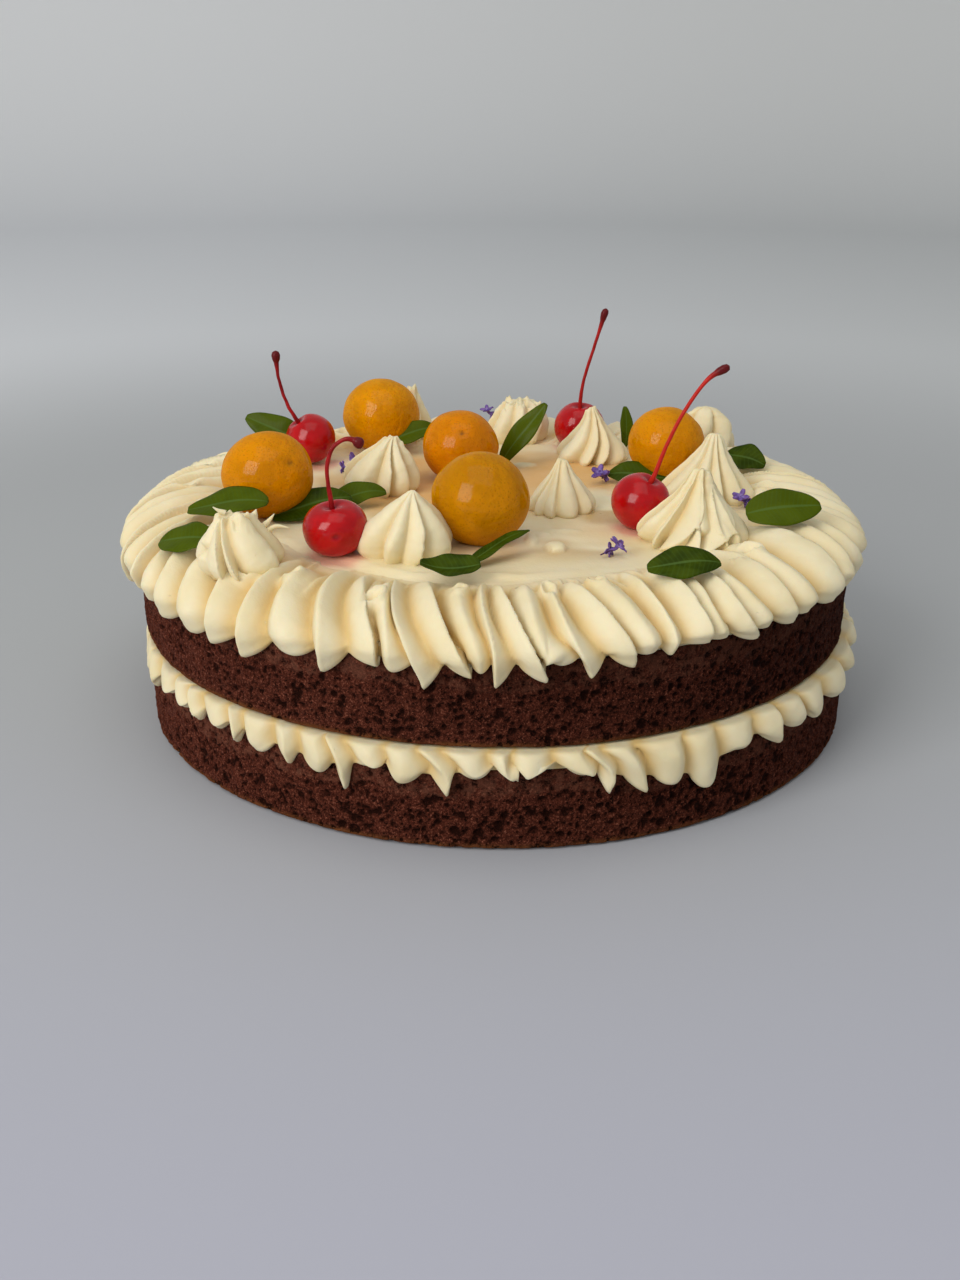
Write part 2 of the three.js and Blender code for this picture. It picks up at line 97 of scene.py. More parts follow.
# Kinds of stroke: the height, the shares of the left and right flanks, how round each is, how far the
# right one runs into its neighbour, how much it leans over, the lean from inner end to tip in degrees,
# where the stroke begins and stops from 0 inside to 1 at the tip, and how round its tip is. Ribs of
# kisses have the first seven.
STROKE = "out wide_left wide_right round_left round_right meet over lean start stop tip".split()
BORDER_KINDS = {
    "lobe": (0.92, 2.7, 2.9, 0.95, 0.85, 1.18, 0.4, 1, 0.03, 2, 1.0),
    "point": (1.0, 1.7, 2.8, 0.7, 0.4, 1.2, -0.5, 2, -0.02, 2, 0.55),
    "blade": (1.0, 3.3, 1.1, 0.95, 0.8, 0.95, 1.3, 3, 0.0, 2, 0.9),
    "bulb": (0.55, 1.6, 1.6, 0.9, 0.9, 1, 0.2, 4, 0.02, 0.72, None),
    "curl": (0.6, 1.3, 1.4, 0.9, 0.8, 1, 0.5, 12, -0.08, 0.4, None),
}
FILLING_KINDS = {
    "lobe": (0.92, 2.9, 2.9, 1.0, 1.0, 1.02, 0.4, 0.6, -0.2, 2, 1.0),
    "point": (1.0, 1.8, 2.0, 0.6, 0.6, 1.0, 0.6, 1.2, -0.2, 2, 0.3),
    "blade": (1.0, 3.0, 1.1, 1.0, 0.7, 0.95, 1.0, 1.4, -0.2, 2, 0.6),
}
RIBS = {
    "broad": (0.98, 52, 42, 1.0, 0.9, 1.14, 5),
    "soft": (0.86, 26, 24, 0.95, 0.85, 1.3, 2),
    "swirl": (0.96, 36, 34, 1.0, 0.95, 1.4, 1),
    "medium": (1.0, 30, 22, 0.95, 0.75, 1.12, 6),
    "sharp": (1.04, 20, 11, 0.75, 0.55, 1.06, 7),
}

# The share of a stroke's flank that its lower edge leaves out, and how high the edge between strokes may be
NOTCH = 0.2
CREAM_EDGE = 54.8

# The usual shells of the border and of the filling: kind, place in the pitch and height of the tip
BORDER_SHELLS = [
    [("lobe", 0.15, 52.6), ("point", 0.56, 48.6), ("blade", 0.93, 51.2), ("bulb", 1.06, 0)],
    [("lobe", 0.2, 51.6), ("blade", 0.75, 49.8), ("bulb", 0.98, 0)],
    [("blade", 0.3, 50.6), ("lobe", 0.72, 52.4), ("bulb", 1.02, 0)],
]
FILLING_SHELLS = [
    [("lobe", 0.2, 21.5), ("point", 0.62, 17.8)],
    [("lobe", 0.1, 21.0), ("lobe", 0.48, 19.8), ("point", 0.82, 18.6)],
]

# The shells that face the camera, as they show, some with their lean
BORDER_FRONT = {
    -6: [("lobe", 0.1, 52.5), ("blade", 0.6, 52.4)],
    -5: [("lobe", 0.0, 51.6, 12), ("lobe", 0.54, 50.2, 16)],
    -4: [("lobe", 0.23, 49.8, 14), ("point", 0.69, 49.5, 12)],
    -3: [("point", 0.22, 48.3, 7), ("bulb", 0.56, 0, 2), ("lobe", 0.9, 52.0, 12)],
    -2: [("point", 0.38, 49.4, 8), ("blade", 0.92, 52.6, 10), ("bulb", 1.06, 0, 9)],
    -1: [("lobe", 0.16, 51.3, 8), ("point", 0.61, 47.6, 12), ("blade", 0.99, 51.0, 9), ("bulb", 1.12, 0)],
    0: [("lobe", 0.2, 51.8, 4), ("point", 0.42, 47.8, 2), ("blade", 0.84, 48.8, 4), ("bulb", 0.99, 0)],
    1: [("lobe", 0.1, 53.4, 3), ("point", 0.52, 49.2, 3.7), ("blade", 0.88, 51.2, 3), ("bulb", 1.0, 0, 2)],
    2: [("lobe", 0.12, 55.2, 0), ("point", 0.51, 52.8, -3), ("blade", 0.84, 55.0, -7.5)],
    3: [("lobe", 0.16, 56.2, -5), ("blade", 0.58, 51.6, -3), ("lobe", 0.86, 53.4, -6)],
    4: [("blade", 0.37, 51.6, -7.5), ("bulb", 0.55, 0, -9), ("lobe", 0.75, 52.4, -9.5)],
    5: [("blade", 0.39, 51.0, -18), ("lobe", 0.82, 55.0, -20)],
}
FILLING_FRONT = {
    -5: [("lobe", 0.24, 22.4), ("lobe", 0.7, 21.8)],
    -4: [("point", 0.08, 20.8), ("lobe", 0.52, 21.3), ("point", 0.87, 19.8)],
    -3: [("lobe", 0.26, 19.6), ("point", 0.72, 18.6)],
    -2: [("lobe", 0.16, 18.9), ("point", 0.5, 15.0), ("lobe", 0.84, 23.6)],
    -1: [("lobe", 0.22, 19.3), ("point", 0.77, 16.4)],
    0: [("lobe", 0.12, 22.4), ("point", 0.6, 21.2), ("lobe", 0.88, 25.6)],
    1: [("lobe", 0.42, 22.9), ("point", 0.7, 16.6)],
    2: [("blade", 0.18, 15.4), ("lobe", 0.56, 15.8)],
    3: [("lobe", 0.08, 12.4), ("lobe", 0.62, 21.0)],
    4: [("blade", 0.24, 18.2), ("lobe", 0.8, 19.6)],
    5: [("lobe", 0.28, 19.0)],
    6: [("lobe", 0.0, 19.6), ("lobe", 0.88, 20.6)],
    7: [("lobe", 0.8, 20.6)],
}

# Curls in the shells: bearing, way along the section, half sizes, height, where the bow points and its sweep
CURLS = [
    (-107.9, 29, 3.0, 4.4, 1.9, 0, 250),
    (-81.4, 19.5, 2.0, 3.6, 1.7, -90, 220),
    (-72.8, 16, 2.2, 3.0, 1.5, 90, 320),
    (-95.4, 19, 1.8, 2.8, 1.5, 0, 300),
    (-129.8, 29, 2.6, 3.8, 1.7, 20, 230),
    (-123.6, 24, 2.4, 3.2, 1.5, 0, 240),
    (-40.2, 20, 3.0, 3.6, 1.9, 40, 230),
    (-46.8, 20, 2.6, 3.4, 1.6, 150, 200),
]
CURLS_BEHIND = 16

# Dabs left on the spread cream: middle, half sizes and height
DABS = [
    ((16.8, -49.3), (3.2, 3.6), 1.8), ((10.2, -41), (1.8, 6.0), 1.0), ((12.5, -35.5), (3.6, 1.8), 0.7),
    ((20, -32), (5.6, 1.8), 0.5), ((9.2, 44.9), (4.5, 3.0), 0.6), ((-12, -33), (3.0, 4.0), 0.6),
]

# Kisses: middle, radius, height, form, depth of the grooves, lean of the peak, half sizes of the torn
# peak, how ragged it is, and the ribs that show, as kind, bearing of the foot and twist, and for some the
# bow and where it begins and stops. The ribs behind them are drawn.
KISSES = [
    (-69.5, -72, 12.6, 16.6, "wide", 0.44, (-1.5, 1), (1.8, 0.8), 1.2, [
        ("broad", -176, 10, 0, -0.3, 0.66), ("soft", -152, 0, 4, 0.42, 2), ("sharp", -112, -30, 6),
        ("sharp", -84, -44, 6), ("broad", -34, -24, 10), ("medium", 16, 0)]),
    (-38.6, 11, 13.6, 18.4, "drop", 0.38, (4.6, -1), (0.9, 0.5), 0.7, [
        ("broad", -142, 20, 10), ("sharp", -78, -12, 8), ("medium", -46, -20, 6), ("soft", -14, 0)]),
    (-26, -55, 13.8, 19.0, "drop", 0.42, (2.4, 0), (0.3, 0.2), 0.2, [
        ("broad", -168, 8, 8), ("soft", -118, 14, 6), ("sharp", -78, 4, 4), ("broad", -24, 8, -8)]),
    (7.5, 82, 12.2, 14.6, "dome", 0.36, (0, 0), (2.5, 1.0), 2.4, [
        ("broad", -150, 10, 10), ("medium", -95, 8), ("soft", -60, 22, 8), ("broad", 0, 10)]),
    (33.5, 55, 13.4, 18.4, "tent", 0.46, (-1, 0), (0.8, 0.5), 0.9, [
        ("broad", -158, 34, 10), ("medium", -112, 38, 4), ("sharp", -84, 34, 10), ("medium", -50, 46, 14),
        ("medium", -16, 40, 10), ("broad", 22, 20)]),
    (19.5, -9, 12, 15.8, "tent", 0.34, (0.5, 1), (1.2, 0.4), 1.0, [
        ("broad", -172, 16, 8), ("soft", -136, 2, -6), ("medium", -108, -12, 4), ("broad", -74, 4, -6),
        ("sharp", -40, 14, 10), ("broad", -4, 12)]),
    (68.5, 9, 14.8, 20.3, "tent", 0.36, (1, 0), (1.3, 0.5), 0.4, [
        ("broad", -158, 10, 8), ("broad", -116, 4, 4), ("sharp", -84, 2, -4), ("sharp", -62, 8, 4),
        ("medium", -36, 20, 4), ("soft", -5, 20)]),
    (57, -39, 17.2, 21.2, "tent", 0.44, (2.0, 0), (1.6, 0.7), 1.0, [
        ("swirl", 172, 20, 14), ("swirl", -138, 48, 30), ("swirl", -96, 62, 46),
        ("soft", -70, 20, -30, 0.2, 0.9), ("swirl", -48, 30, -24), ("swirl", -8, 40, 22)]),
    (74, 62, 11.8, 17.4, "dome", 0.5, (0, 0), (0.5, 0.5), 0.2, [
        ("broad", -150, 56, 12), ("broad", -84, 64, 16), ("broad", -16, 10, 0, 0.34, 2)]),
    (-34, 83, 9.9, 19.3, "usual", 0.4, (1.0, 0), (1.2, 0.6), 1.9, [
        ("broad", -140, 10), ("medium", -70, 10, 8), ("broad", -10, 10)]),
]

# The forms of kisses: shares of the height, and the share of the radius at each
KISS_FORMS = {
    "wide": ((0, 0.1, 0.24, 0.42, 0.62, 0.8, 0.92, 1), (0.7, 0.88, 1, 0.94, 0.75, 0.5, 0.3, 0.12)),
    "usual": ((0, 0.1, 0.28, 0.5, 0.7, 0.85, 0.94, 1), (0.86, 1, 0.95, 0.74, 0.48, 0.26, 0.13, 0.03)),
    "tent": ((0, 0.08, 0.22, 0.42, 0.62, 0.8, 0.92, 1), (0.92, 1, 0.93, 0.7, 0.46, 0.25, 0.13, 0.04)),
    "drop": ((0, 0.12, 0.3, 0.52, 0.72, 0.86, 0.95, 1), (0.84, 0.98, 1, 0.84, 0.56, 0.3, 0.13, 0.03)),
    "dome": ((0, 0.12, 0.35, 0.58, 0.76, 0.89, 0.96, 1), (0.88, 1, 1, 0.9, 0.72, 0.5, 0.32, 0.12)),
}

# Thin tongues of cream on the first kiss: root, bend, tip and thickness, from the kiss's foot
TONGUES = [
    ((-3.4, 0.8, 16.8), (-5.2, 0.4, 17.6), (-6.6, 0.2, 18.6), 0.8),
    ((5.4, 4.5, 11.5), (7.4, 5.0, 13.4), (9.0, 5.0, 15.4), 1.0),
    ((6.4, 4.5, 10.2), (9.4, 4.6, 12.0), (13.0, 4.6, 11.6), 0.9),
    ((2.4, 5.0, 12.4), (3.4, 5.6, 14.8), (4.0, 5.8, 16.4), 1.9),
]

# Fruit: middle, radius, how orange, how light, and where the scar of the stalk faces
FRUIT_SINK = 1
FRUIT_FLAT = 0.95
FRUITS = [
    (-43, 67, 13.9, 0.3, 0.9, None),
    (-71, -16, 14, 0.5, 0.86, (0.62, -0.62, 0.45)),
    (-13, 26.5, 12.8, 0.8, 0.84, (0.07, -0.82, 0.58)),
    (-5, -41, 14.3, 0.25, 0.7, None),
    (56.6, 31, 13, 0.4, 0.84, None),
]

# Cherries: middle, radius, how tall for its width, tilt and nod, the stem's knob as length and radius,
# how bright the stem is, where a pit's hole faces, and the stem's bends, to the right and up from the
# cherry's top
STEM_R = 0.72
DIMPLE = 1.8
CHERRIES = [
    ((-45.6, -54.5, 69.6), 9.3, 0.8, -6, 6, (3.2, 1.75), 0.0, (0.12, -0.9, 0.12),
     [(-0.6, 4.5), (-0.6, 9.5), (1.2, 14.4), (5.2, 16.8), (9.6, 15.0)]),
    ((-66, 44, 71), 8.8, 0.95, -32, 8, (3.8, 1.6), 0.0, None, [(-2.6, 5), (-4.8, 13), (-5.6, 22)]),
    ((29.5, 74, 69), 9.4, 0.96, 0, 8, (4.8, 1.4), 0.35, None, [(1.2, 8), (4.4, 19), (8.2, 32.5)]),
    ((43, -26.7, 70), 9, 0.95, 22, 8, (4.6, 1.4), 0.9, None,
     [(3, 8.5), (7.6, 18.5), (13.6, 27.5), (19.8, 31.6)]),
]

# Leaves: the middle, length, width, where the tip points, the tip's rise, the roll, and the fold along
# the midrib. LEAF_BEND is how far the ends bend up or down, and LEAF_LIGHT how light a leaf is, where
# these aren't the usual.
LEAVES = [
    (-79, 50, 24, 11, 170, 22, -58, 10),
    (-87, -59, 19.5, 12, 160, -8, -28, 12),
    (-79.5, -38, 25, 13, 175, -8, -22, 14),
    (-57, -21, 26, 12, 22, 8, 30, 14),
    (-44.5, -9, 19, 9.5, 12, 8, 30, 20),
    (-12.4, -76.8, 16.5, 9.2, 188, 4, -20, 26),
    (-1.2, -62, 26, 5.2, 34, 16, 4, 14),
    (7.8, 41.5, 27, 8, 4, 54, 58, 18),
    (-31.5, 57, 19, 8.5, 14, 14, 42, 20),
    (46, 66, 15, 5, 95, 76, 12, 20),
    (47, 21, 21, 9.5, 176, 3, -46, 16),
    (83, 28, 14.5, 11, -28, -8, 34, 16),
    (84, -37, 23, 13.4, 10, 4, 38, 10),
    (49.5, -83, 20, 10.8, 188, -2, -30, 12),
]
LEAF_THICK = 0.6
LEAF_BEND = {"leaf_6": 1.9, "leaf_7": -0.5}
LEAF_LIGHT = {
    "leaf_3": 0.45, "leaf_6": 0, "leaf_7": 0, "leaf_8": 0.6, "leaf_12": 0, "leaf_13": 0.5, "leaf_14": 0,
}

# Florets: the middle, length, radius, heading and rise
PETAL_THICK = 0.32
FLORETS = [
    (-51.5, 34, 12, 4.0, 48, 26),
    (-4.5, 94, 6, 2.4, 200, 40),
    (34, 21, 6.5, 3.2, 250, 42),
    (77, -6, 7, 2.7, 235, 30),
    (33.5, -56, 7.5, 2.9, 20, 24),
]

# The camera, as it was fitted to the photograph
CAMERA_AT = (1.9, -418.7, 185.0)
CAMERA_DOWN = 22.26
CAMERA_YAW = -1.02
CAMERA_ROLL = -0.29
FOCAL_PIXELS = 1350
PICTURE_HEIGHT = 1280
SENSOR = 36
FLOOR_GAP = 0.0002


def mix(a, b, t):
    return a + (b - a) * t


def ease(low, high, x):
    t = clip((x - low) / (high - low), 0, 1)
    return t * t * (3 - 2 * t)


def bell(x, width=1, power=2):
    return exp(-((x / width) ** power))


def soft_max(a, b, width):
    """The larger of two heights, with the crease between them filled in a little."""
    return maximum(a, b) + clip(width - np.abs(a - b), 0, None) ** 2 / (4 * width)


def apart(angles, middle):
    """How far each angle is from the middle one, from -180 to 180 degrees."""
    return (angles - middle + 180) % 360 - 180


def random_cells(cells, seed):
    """A number from 0 to 1 for each cell of a lattice, the same each time."""
    c = cells.astype(np.int64)
    h = c[..., 0] * 374761393 + c[..., 1] * 668265263 + c[..., 2] * 2147483647 + seed * 974634777
    h = (h ^ (h >> 13)) & 0xFFFFFFFF
    h = (h * 1274126177) & 0xFFFFFFFF
    return ((h ^ (h >> 16)) & 0xFFFFFF) / 0xFFFFFF


def noise(points, size, seed=0):
    """Smooth noise from -1 to 1 with bumps about one size across."""
    q = np.asarray(points, float) / size
    base = np.floor(q)
    t = q - base
    t = t * t * (3 - 2 * t)
    total = np.zeros(q.shape[:-1])
    for corner in itertools.product((0, 1), repeat=3):
        weight = 1
        for axis in range(3):
            weight = weight * (t[..., axis] if corner[axis] else 1 - t[..., axis])
        total += weight * random_cells(base + np.array(corner), seed)
    return 2 * total - 1


def smooth_path(places, t):
    """Points along a smooth line through the places, for t from 0 to 1, evenly from place to place."""
    p = np.asarray(places, float)
    p = np.vstack([2 * p[0] - p[1], p, 2 * p[-1] - p[-2]])
    q = clip(np.asarray(t, float), 0, 1) * (len(places) - 1)
    k = minimum(q.astype(int), len(places) - 2)
    f = (q - k)[..., None]
    a, b, c, d = p[k], p[k + 1], p[k + 2], p[k + 3]
    return b + f / 2 * (c - a + f * (2 * a - 5 * b + 4 * c - d + f * (3 * (b - c) + d - a)))


def run_along(line):
    """How far along a line of points each of them is."""
    return np.append(0, np.cumsum(np.linalg.norm(np.diff(line, axis=0), axis=1)))


def circle(steps):
    return linspace(0, 2 * pi, steps, endpoint=False)


def points_at(x, y, z):
    return np.stack(np.broadcast_arrays(x, y, z), -1)


def round_points(radius, angle, z):
    return points_at(radius * cos(angle), radius * sin(angle), z)


def from_polar(rings):
    return round_points(rings[..., 0], radians(rings[..., 1]), rings[..., 2])


def grid_faces(rows, columns, wrap_rows=False):
    """Quads between points that are stored row by row, in rows that close on themselves."""
    i = np.arange(rows if wrap_rows else rows - 1)[:, None]
    j = np.arange(columns)[None, :]
    below, right = (i + 1) % rows * columns, (j + 1) % columns
    return np.stack([i * columns + j, i * columns + right, below + right, below + j], -1).reshape(-1, 4)


def turned(heading=0, rise=0, roll=0):
    """The turn that points +X to a heading, then up by rise, and rolls about itself."""
    turns = ((heading, "Z"), (-rise, "Y"), (roll, "X"))
    z, y, x = (Matrix.Rotation(math.radians(angle), 3, axis) for angle, axis in turns)
    return np.array(z @ y @ x)


class Skin:
    """Closed surfaces: points, faces and marks, which are numbers kept at each point for the materials."""

    def __init__(self, points, quads, triangles=(), **marks):
        self.points = np.asarray(points, float).reshape(-1, 3)
        self.quads = np.asarray(quads, int).reshape(-1, 4)
        self.triangles = np.asarray(triangles, int).reshape(-1, 3)
        self.marks = {name: np.broadcast_to(v, len(self.points)).astype(float) for name, v in marks.items()}
        a, b, c, d = (self.points[self.quads[:, k]] for k in range(4))
        volume = (np.cross(a, b) * c).sum() + (np.cross(a, c) * d).sum()
        a, b, c = (self.points[self.triangles[:, k]] for k in range(3))
        if volume + (np.cross(a, b) * c).sum() < 0:
            self.quads = self.quads[:, ::-1]
            self.triangles = self.triangles[:, ::-1]

    def moved(self, offset=(0, 0, 0), turn=np.eye(3)):
        self.points = self.points @ turn.T + np.asarray(offset, float)
        return self

    def levelled(self, name):
        """Moves it up or down to the middle of its solid's heights."""
        low, high = (v.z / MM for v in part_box(name))
        z = self.points[:, 2]
        self.points[:, 2] = z + (low + high) / 2 - (z.min() + z.max()) / 2
        return self


def join(*skins):
    starts = np.cumsum([0] + [len(skin.points) for skin in skins])
    marks = {
        name: np.concatenate([skin.marks.get(name, np.zeros(len(skin.points))) for skin in skins])
        for skin in skins for name in skin.marks
    }
    quads = np.vstack([skin.quads + start for skin, start in zip(skins, starts)])
    triangles = np.vstack([skin.triangles + start for skin, start in zip(skins, starts)])
    return Skin(np.vstack([skin.points for skin in skins]), quads, triangles, **marks)


def closed(rings, first=None, last=None, **marks):
    """A closed skin over rings, with a middle point at each end."""
    rows, columns = rings.shape[:2]
    first = rings[0].mean(0) if first is None else first
    last = rings[-1].mean(0) if last is None else last
    j = np.arange(columns)
    right, end = (j + 1) % columns, (rows - 1) * columns
    starts = points_at(right, j, rows * columns)
    ends = points_at(end + j, end + right, rows * columns + 1)
    for name, values in marks.items():
        flat = np.broadcast_to(values, (rows, columns)).ravel()
        marks[name] = np.append(flat, [flat[0], flat[-1]])
    points = np.vstack([rings.reshape(-1, 3), first, last])
    return Skin(points, grid_faces(rows, columns), np.vstack([starts, ends]), **marks)


def sheet_rings(x, y, z, thick):
    """Rings round a thin sheet: its upper side and back along its lower side."""
    return np.concatenate([points_at(x, y, z + thick / 2), points_at(x, y, z - thick / 2)[:, ::-1]], 1)


def rod_skin(places, radii, sides, steps, **marks):
    """A round rod along a smooth line through the places, closed at both ends.

    radii, and the marks, are either values at even steps or pairs of a share of the length and a value.
    """
    line = smooth_path(places, linspace(0, 1, steps))
    run = run_along(line)
    run /= run[-1]

    def along_rod(values):
        if isinstance(values[0], tuple):
            return np.interp(run, *zip(*values))[:, None]
        return np.interp(run, linspace(0, 1, len(values)), values)[:, None]

    along = np.gradient(line, axis=0)
    along /= np.linalg.norm(along, axis=1)[:, None]
    side = np.cross(along, (0.0, 1.0, 0.01))
    side /= np.linalg.norm(side, axis=1)[:, None]
    other = np.cross(along, side)
    angle = circle(sides)[None, :, None]
    away = cos(angle) * side[:, None] + sin(angle) * other[:, None]
    rings = line[:, None] + along_rod(radii)[..., None] * away
    return closed(rings, line[0], line[-1], **{name: along_rod(values) for name, values in marks.items()})


def add_object(name, data):
    made = bpy.data.objects.new(name, data)
    bpy.context.scene.collection.objects.link(made)
    return made


def smooth_mesh(name, points, faces, material):
    mesh = bpy.data.meshes.new(name)
    mesh.from_pydata(points, [], faces)
    mesh.polygons.foreach_set("use_smooth", np.ones(len(mesh.polygons), bool))
    mesh.materials.append(material)
    return mesh


def add_piece(name, skin, material, slot, *nodes):
    """Makes the piece in metres. It stands for the nodes."""
    mesh = smooth_mesh(name, skin.points * MM, [*skin.quads.tolist(), *skin.triangles.tolist()], material)
    for mark, values in skin.marks.items():
        layer = mesh.attributes.new(mark, "FLOAT", "POINT")
        layer.data.foreach_set("value", values.astype(np.float32))
    mesh.update()
    piece = add_object(name, mesh)
    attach(piece, "root")
    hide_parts(*nodes)


class Look:
    """A material whose colour and bump come from nodes: a base colour with layers over it."""

    def __init__(self, name, base, **settings):
        self.body = base
        self.material = bpy.data.materials.new(name)
        self.material.use_nodes = True
        self.tree = self.material.node_tree
        self.shader = self.tree.nodes["Principled BSDF"]
        for socket, value in settings.items():
            self.shader.inputs[socket.replace("_", " ")].default_value = value
        self.place = self.node("TexCoord").outputs["Object"]

    def node(self, kind, **links):
        made = self.tree.nodes.new("ShaderNode" + kind)
        for socket, value in links.items():
            self.feed(made.inputs[socket.replace("_", " ")], value)
        return made

    def feed(self, socket, value):
        if isinstance(value, bpy.types.NodeSocket):
            self.tree.links.new(value, socket)
        else:
            socket.default_value = value

    def mark(self, name):
        made = self.node("Attribute")
        made.attribute_name = name
        return made.outputs["Fac"]

    def noise(self, size, detail=3, rough=0.55):
        """Noise with bumps about a size in millimetres."""
        made = self.node("TexNoise", Vector=self.place, Scale=1 / (size * MM), Detail=detail, Roughness=rough)
        return made.outputs["Fac"]

    def cells(self, size):
        return self.node("TexVoronoi", Vector=self.place, Scale=1 / (size * MM)).outputs["Distance"]

    def span(self, value, low, high, to_low=0.0, to_high=1.0):
        made = self.node("MapRange", Value=value, From_Min=low, From_Max=high, To_Min=to_low, To_Max=to_high)
        made.interpolation_type = "SMOOTHSTEP"
        return made.outputs["Result"]

    def spots(self, size, low, high, to_low=0.0, to_high=1.0, *detail):
        return self.span(self.noise(size, *detail), low, high, to_low, to_high)

    def maths(self, operation, a, b=0.0):
        made = self.node("Math")
        made.operation = operation
        self.feed(made.inputs[0], a)
        self.feed(made.inputs[1], b)
        return made.outputs["Value"]

    def blend(self, share, a, b, kind="MIX"):
        made = self.node("Mix")
        made.data_type = "RGBA"
        made.blend_type = kind
        self.feed(made.inputs["Factor"], share)
        for number, value in ((6, a), (7, b)):
            self.feed(made.inputs[number], value if isinstance(value, bpy.types.NodeSocket) else (*value, 1))
        return made.outputs[2]

    def layer(self, share, colour, kind="MIX"):
        """Lays a colour over the others, by a share or by the mark of that name."""
        share = self.mark(share) if isinstance(share, str) else share
        self.body = self.blend(share, self.body, colour, kind)

    def finished(self, rough, *bumps):
        """The material, with its roughness and bumps, each a depth in mm and a noise or a height."""
        self.feed(self.shader.inputs["Base Color"], self.body)
        self.feed(self.shader.inputs["Roughness"], rough)
        into = self.shader.inputs["Normal"]
        for depth, height, *detail in reversed(bumps):
            height = height if isinstance(height, bpy.types.NodeSocket) else self.noise(height, *detail)
            made = self.node("Bump", Height=height, Distance=depth * MM, Strength=1.0)
            self.tree.links.new(made.outputs["Normal"], into)
            into = made.inputs["Normal"]
        return self.material


def cream_look():
    look = Look(
        "cream", (0.74, 0.53, 0.22), Specular_IOR_Level=0.3,
        Subsurface_Weight=0.2, Subsurface_Radius=(1.0, 0.62, 0.3), Subsurface_Scale=1.4 * MM,
    )
    ridge, wet = look.mark("ridge"), look.mark("wet")
    # Painted shade: the crests take the pale cream colour while the grooves keep the darker yellow base, and
    # the deepest grooves are darker still, by how much of a crest each point is.
    look.layer(look.span(ridge, 0.12, 0.8), (0.86, 0.765, 0.51))
    look.layer(look.span(ridge, 0.0, 0.16, 1, 0), (0.52, 0.33, 0.1))
    look.layer("blush", (0.76, 0.45, 0.165))
    look.layer(look.spots(14, 0.35, 0.7), (0.97, 0.94, 0.86), "MULTIPLY")
    look.layer("stain", (0.75, 0.24, 0.19))
    look.layer(wet, (0.56, 0.35, 0.12))
    rough = look.maths("SUBTRACT", look.spots(5, 0.3, 0.7, 0.42, 0.56), look.maths("MULTIPLY", wet, 0.2))
    return look.finished(rough, (0.14, 2.2, 4), (0.05, 0.7, 2), (0.12, look.span(look.cells(5.5), 0.0, 0.07)))


def sponge_look():
    look = Look("sponge", (0.06, 0.014, 0.008), Specular_IOR_Level=0.05)
    dark = (0.016, 0.004, 0.002)
    look.layer(look.spots(0.6, 0.41, 0.59, 0, 1, 5, 0.85), (0.2, 0.05, 0.027))
    look.layer(look.spots(0.6, 0.57, 0.66, 0, 0.8, 4, 0.8), (0.5, 0.19, 0.12))
    look.layer(look.spots(1.5, 0.38, 0.45, 1, 0, 4, 0.85), dark)
    crust = look.maths("MULTIPLY", look.mark("crust"), look.spots(2.5, 0.42, 0.58, 0.05, 0.5, 4, 0.7))
    look.layer(crust, (0.26, 0.1, 0.06))
    look.layer("browned", (0.27, 0.095, 0.03))
    # Painted shade in the pores, darker where they are deeper.
    pore_shade = look.maths("MULTIPLY", look.mark("pore"), look.spots(0.6, 0.35, 0.6, 0.25, 1.3, 3, 0.7))
    look.layer(look.span(pore_shade, 0.2, 0.7, 0, 0.95), dark)
    # Painted shade on the right side of the sponges, less on the lower one.
    look.layer("moist", (0.36, 0.33, 0.3), "MULTIPLY")
    return look.finished(look.spots(1.2, 0.3, 0.7, 0.72, 0.9), (0.7, 0.8, 5, 0.85), (0.2, look.cells(0.6)))


def fruit_look(name, orange, light):
    base = light * mix(np.array((0.86, 0.36, 0.0)), np.array((0.82, 0.24, 0.0)), orange)
    look = Look(
        name, base, Specular_IOR_Level=0.0, Coat_Weight=0.24, Coat_Roughness=0.09,
        Subsurface_Weight=0.3, Subsurface_Radius=(1.0, 0.45, 0.1), Subsurface_Scale=2.0 * MM,
    )
    glands = look.span(look.cells(0.85), 0.12, 0.42)
    look.layer(look.spots(9, 0.35, 0.68, 0, 1, 4), 0.82 * base)
    look.layer(look.maths("SUBTRACT", 1.0, glands), 0.8 * base)
    look.layer(look.spots(3.2, 0.66, 0.78, 0, 0.4), (0.34, 0.12, 0.01))
    look.layer("scar", (0.12, 0.05, 0.012))
    return look.finished(look.spots(4, 0.3, 0.7, 0.26, 0.42), (0.9, 5), (0.36, 1.6), (0.08, glands))


def cherry_look():
    look = Look(
        "cherry", (0.38, 0.001, 0.003), Specular_IOR_Level=0.1, Coat_Weight=0.42, Coat_Roughness=0.1,
        Subsurface_Weight=0.55, Subsurface_Radius=(1.0, 0.08, 0.06), Subsurface_Scale=4.0 * MM,
    )
    look.layer(look.spots(5, 0.3, 0.7), (0.5, 0.003, 0.006))
    # Painted shade in the dimple at the stem and in a pit's hole.
    look.layer("pit", (0.3, 0.004, 0.012))
    return look.finished(0.2, (0.12, 2.4))


def stem_look():
    look = Look("stem", (0.21, 0.002, 0.004), Specular_IOR_Level=0.12, Coat_Weight=0.12, Coat_Roughness=0.12)
    look.layer(look.spots(4, 0.35, 0.65), (0.36, 0.008, 0.01))
    look.layer("bright", (0.56, 0.02, 0.012))
    look.layer("knob", (0.12, 0.006, 0.008))
    return look.finished(look.spots(1.5, 0.3, 0.7, 0.32, 0.5), (0.12, 1.2))


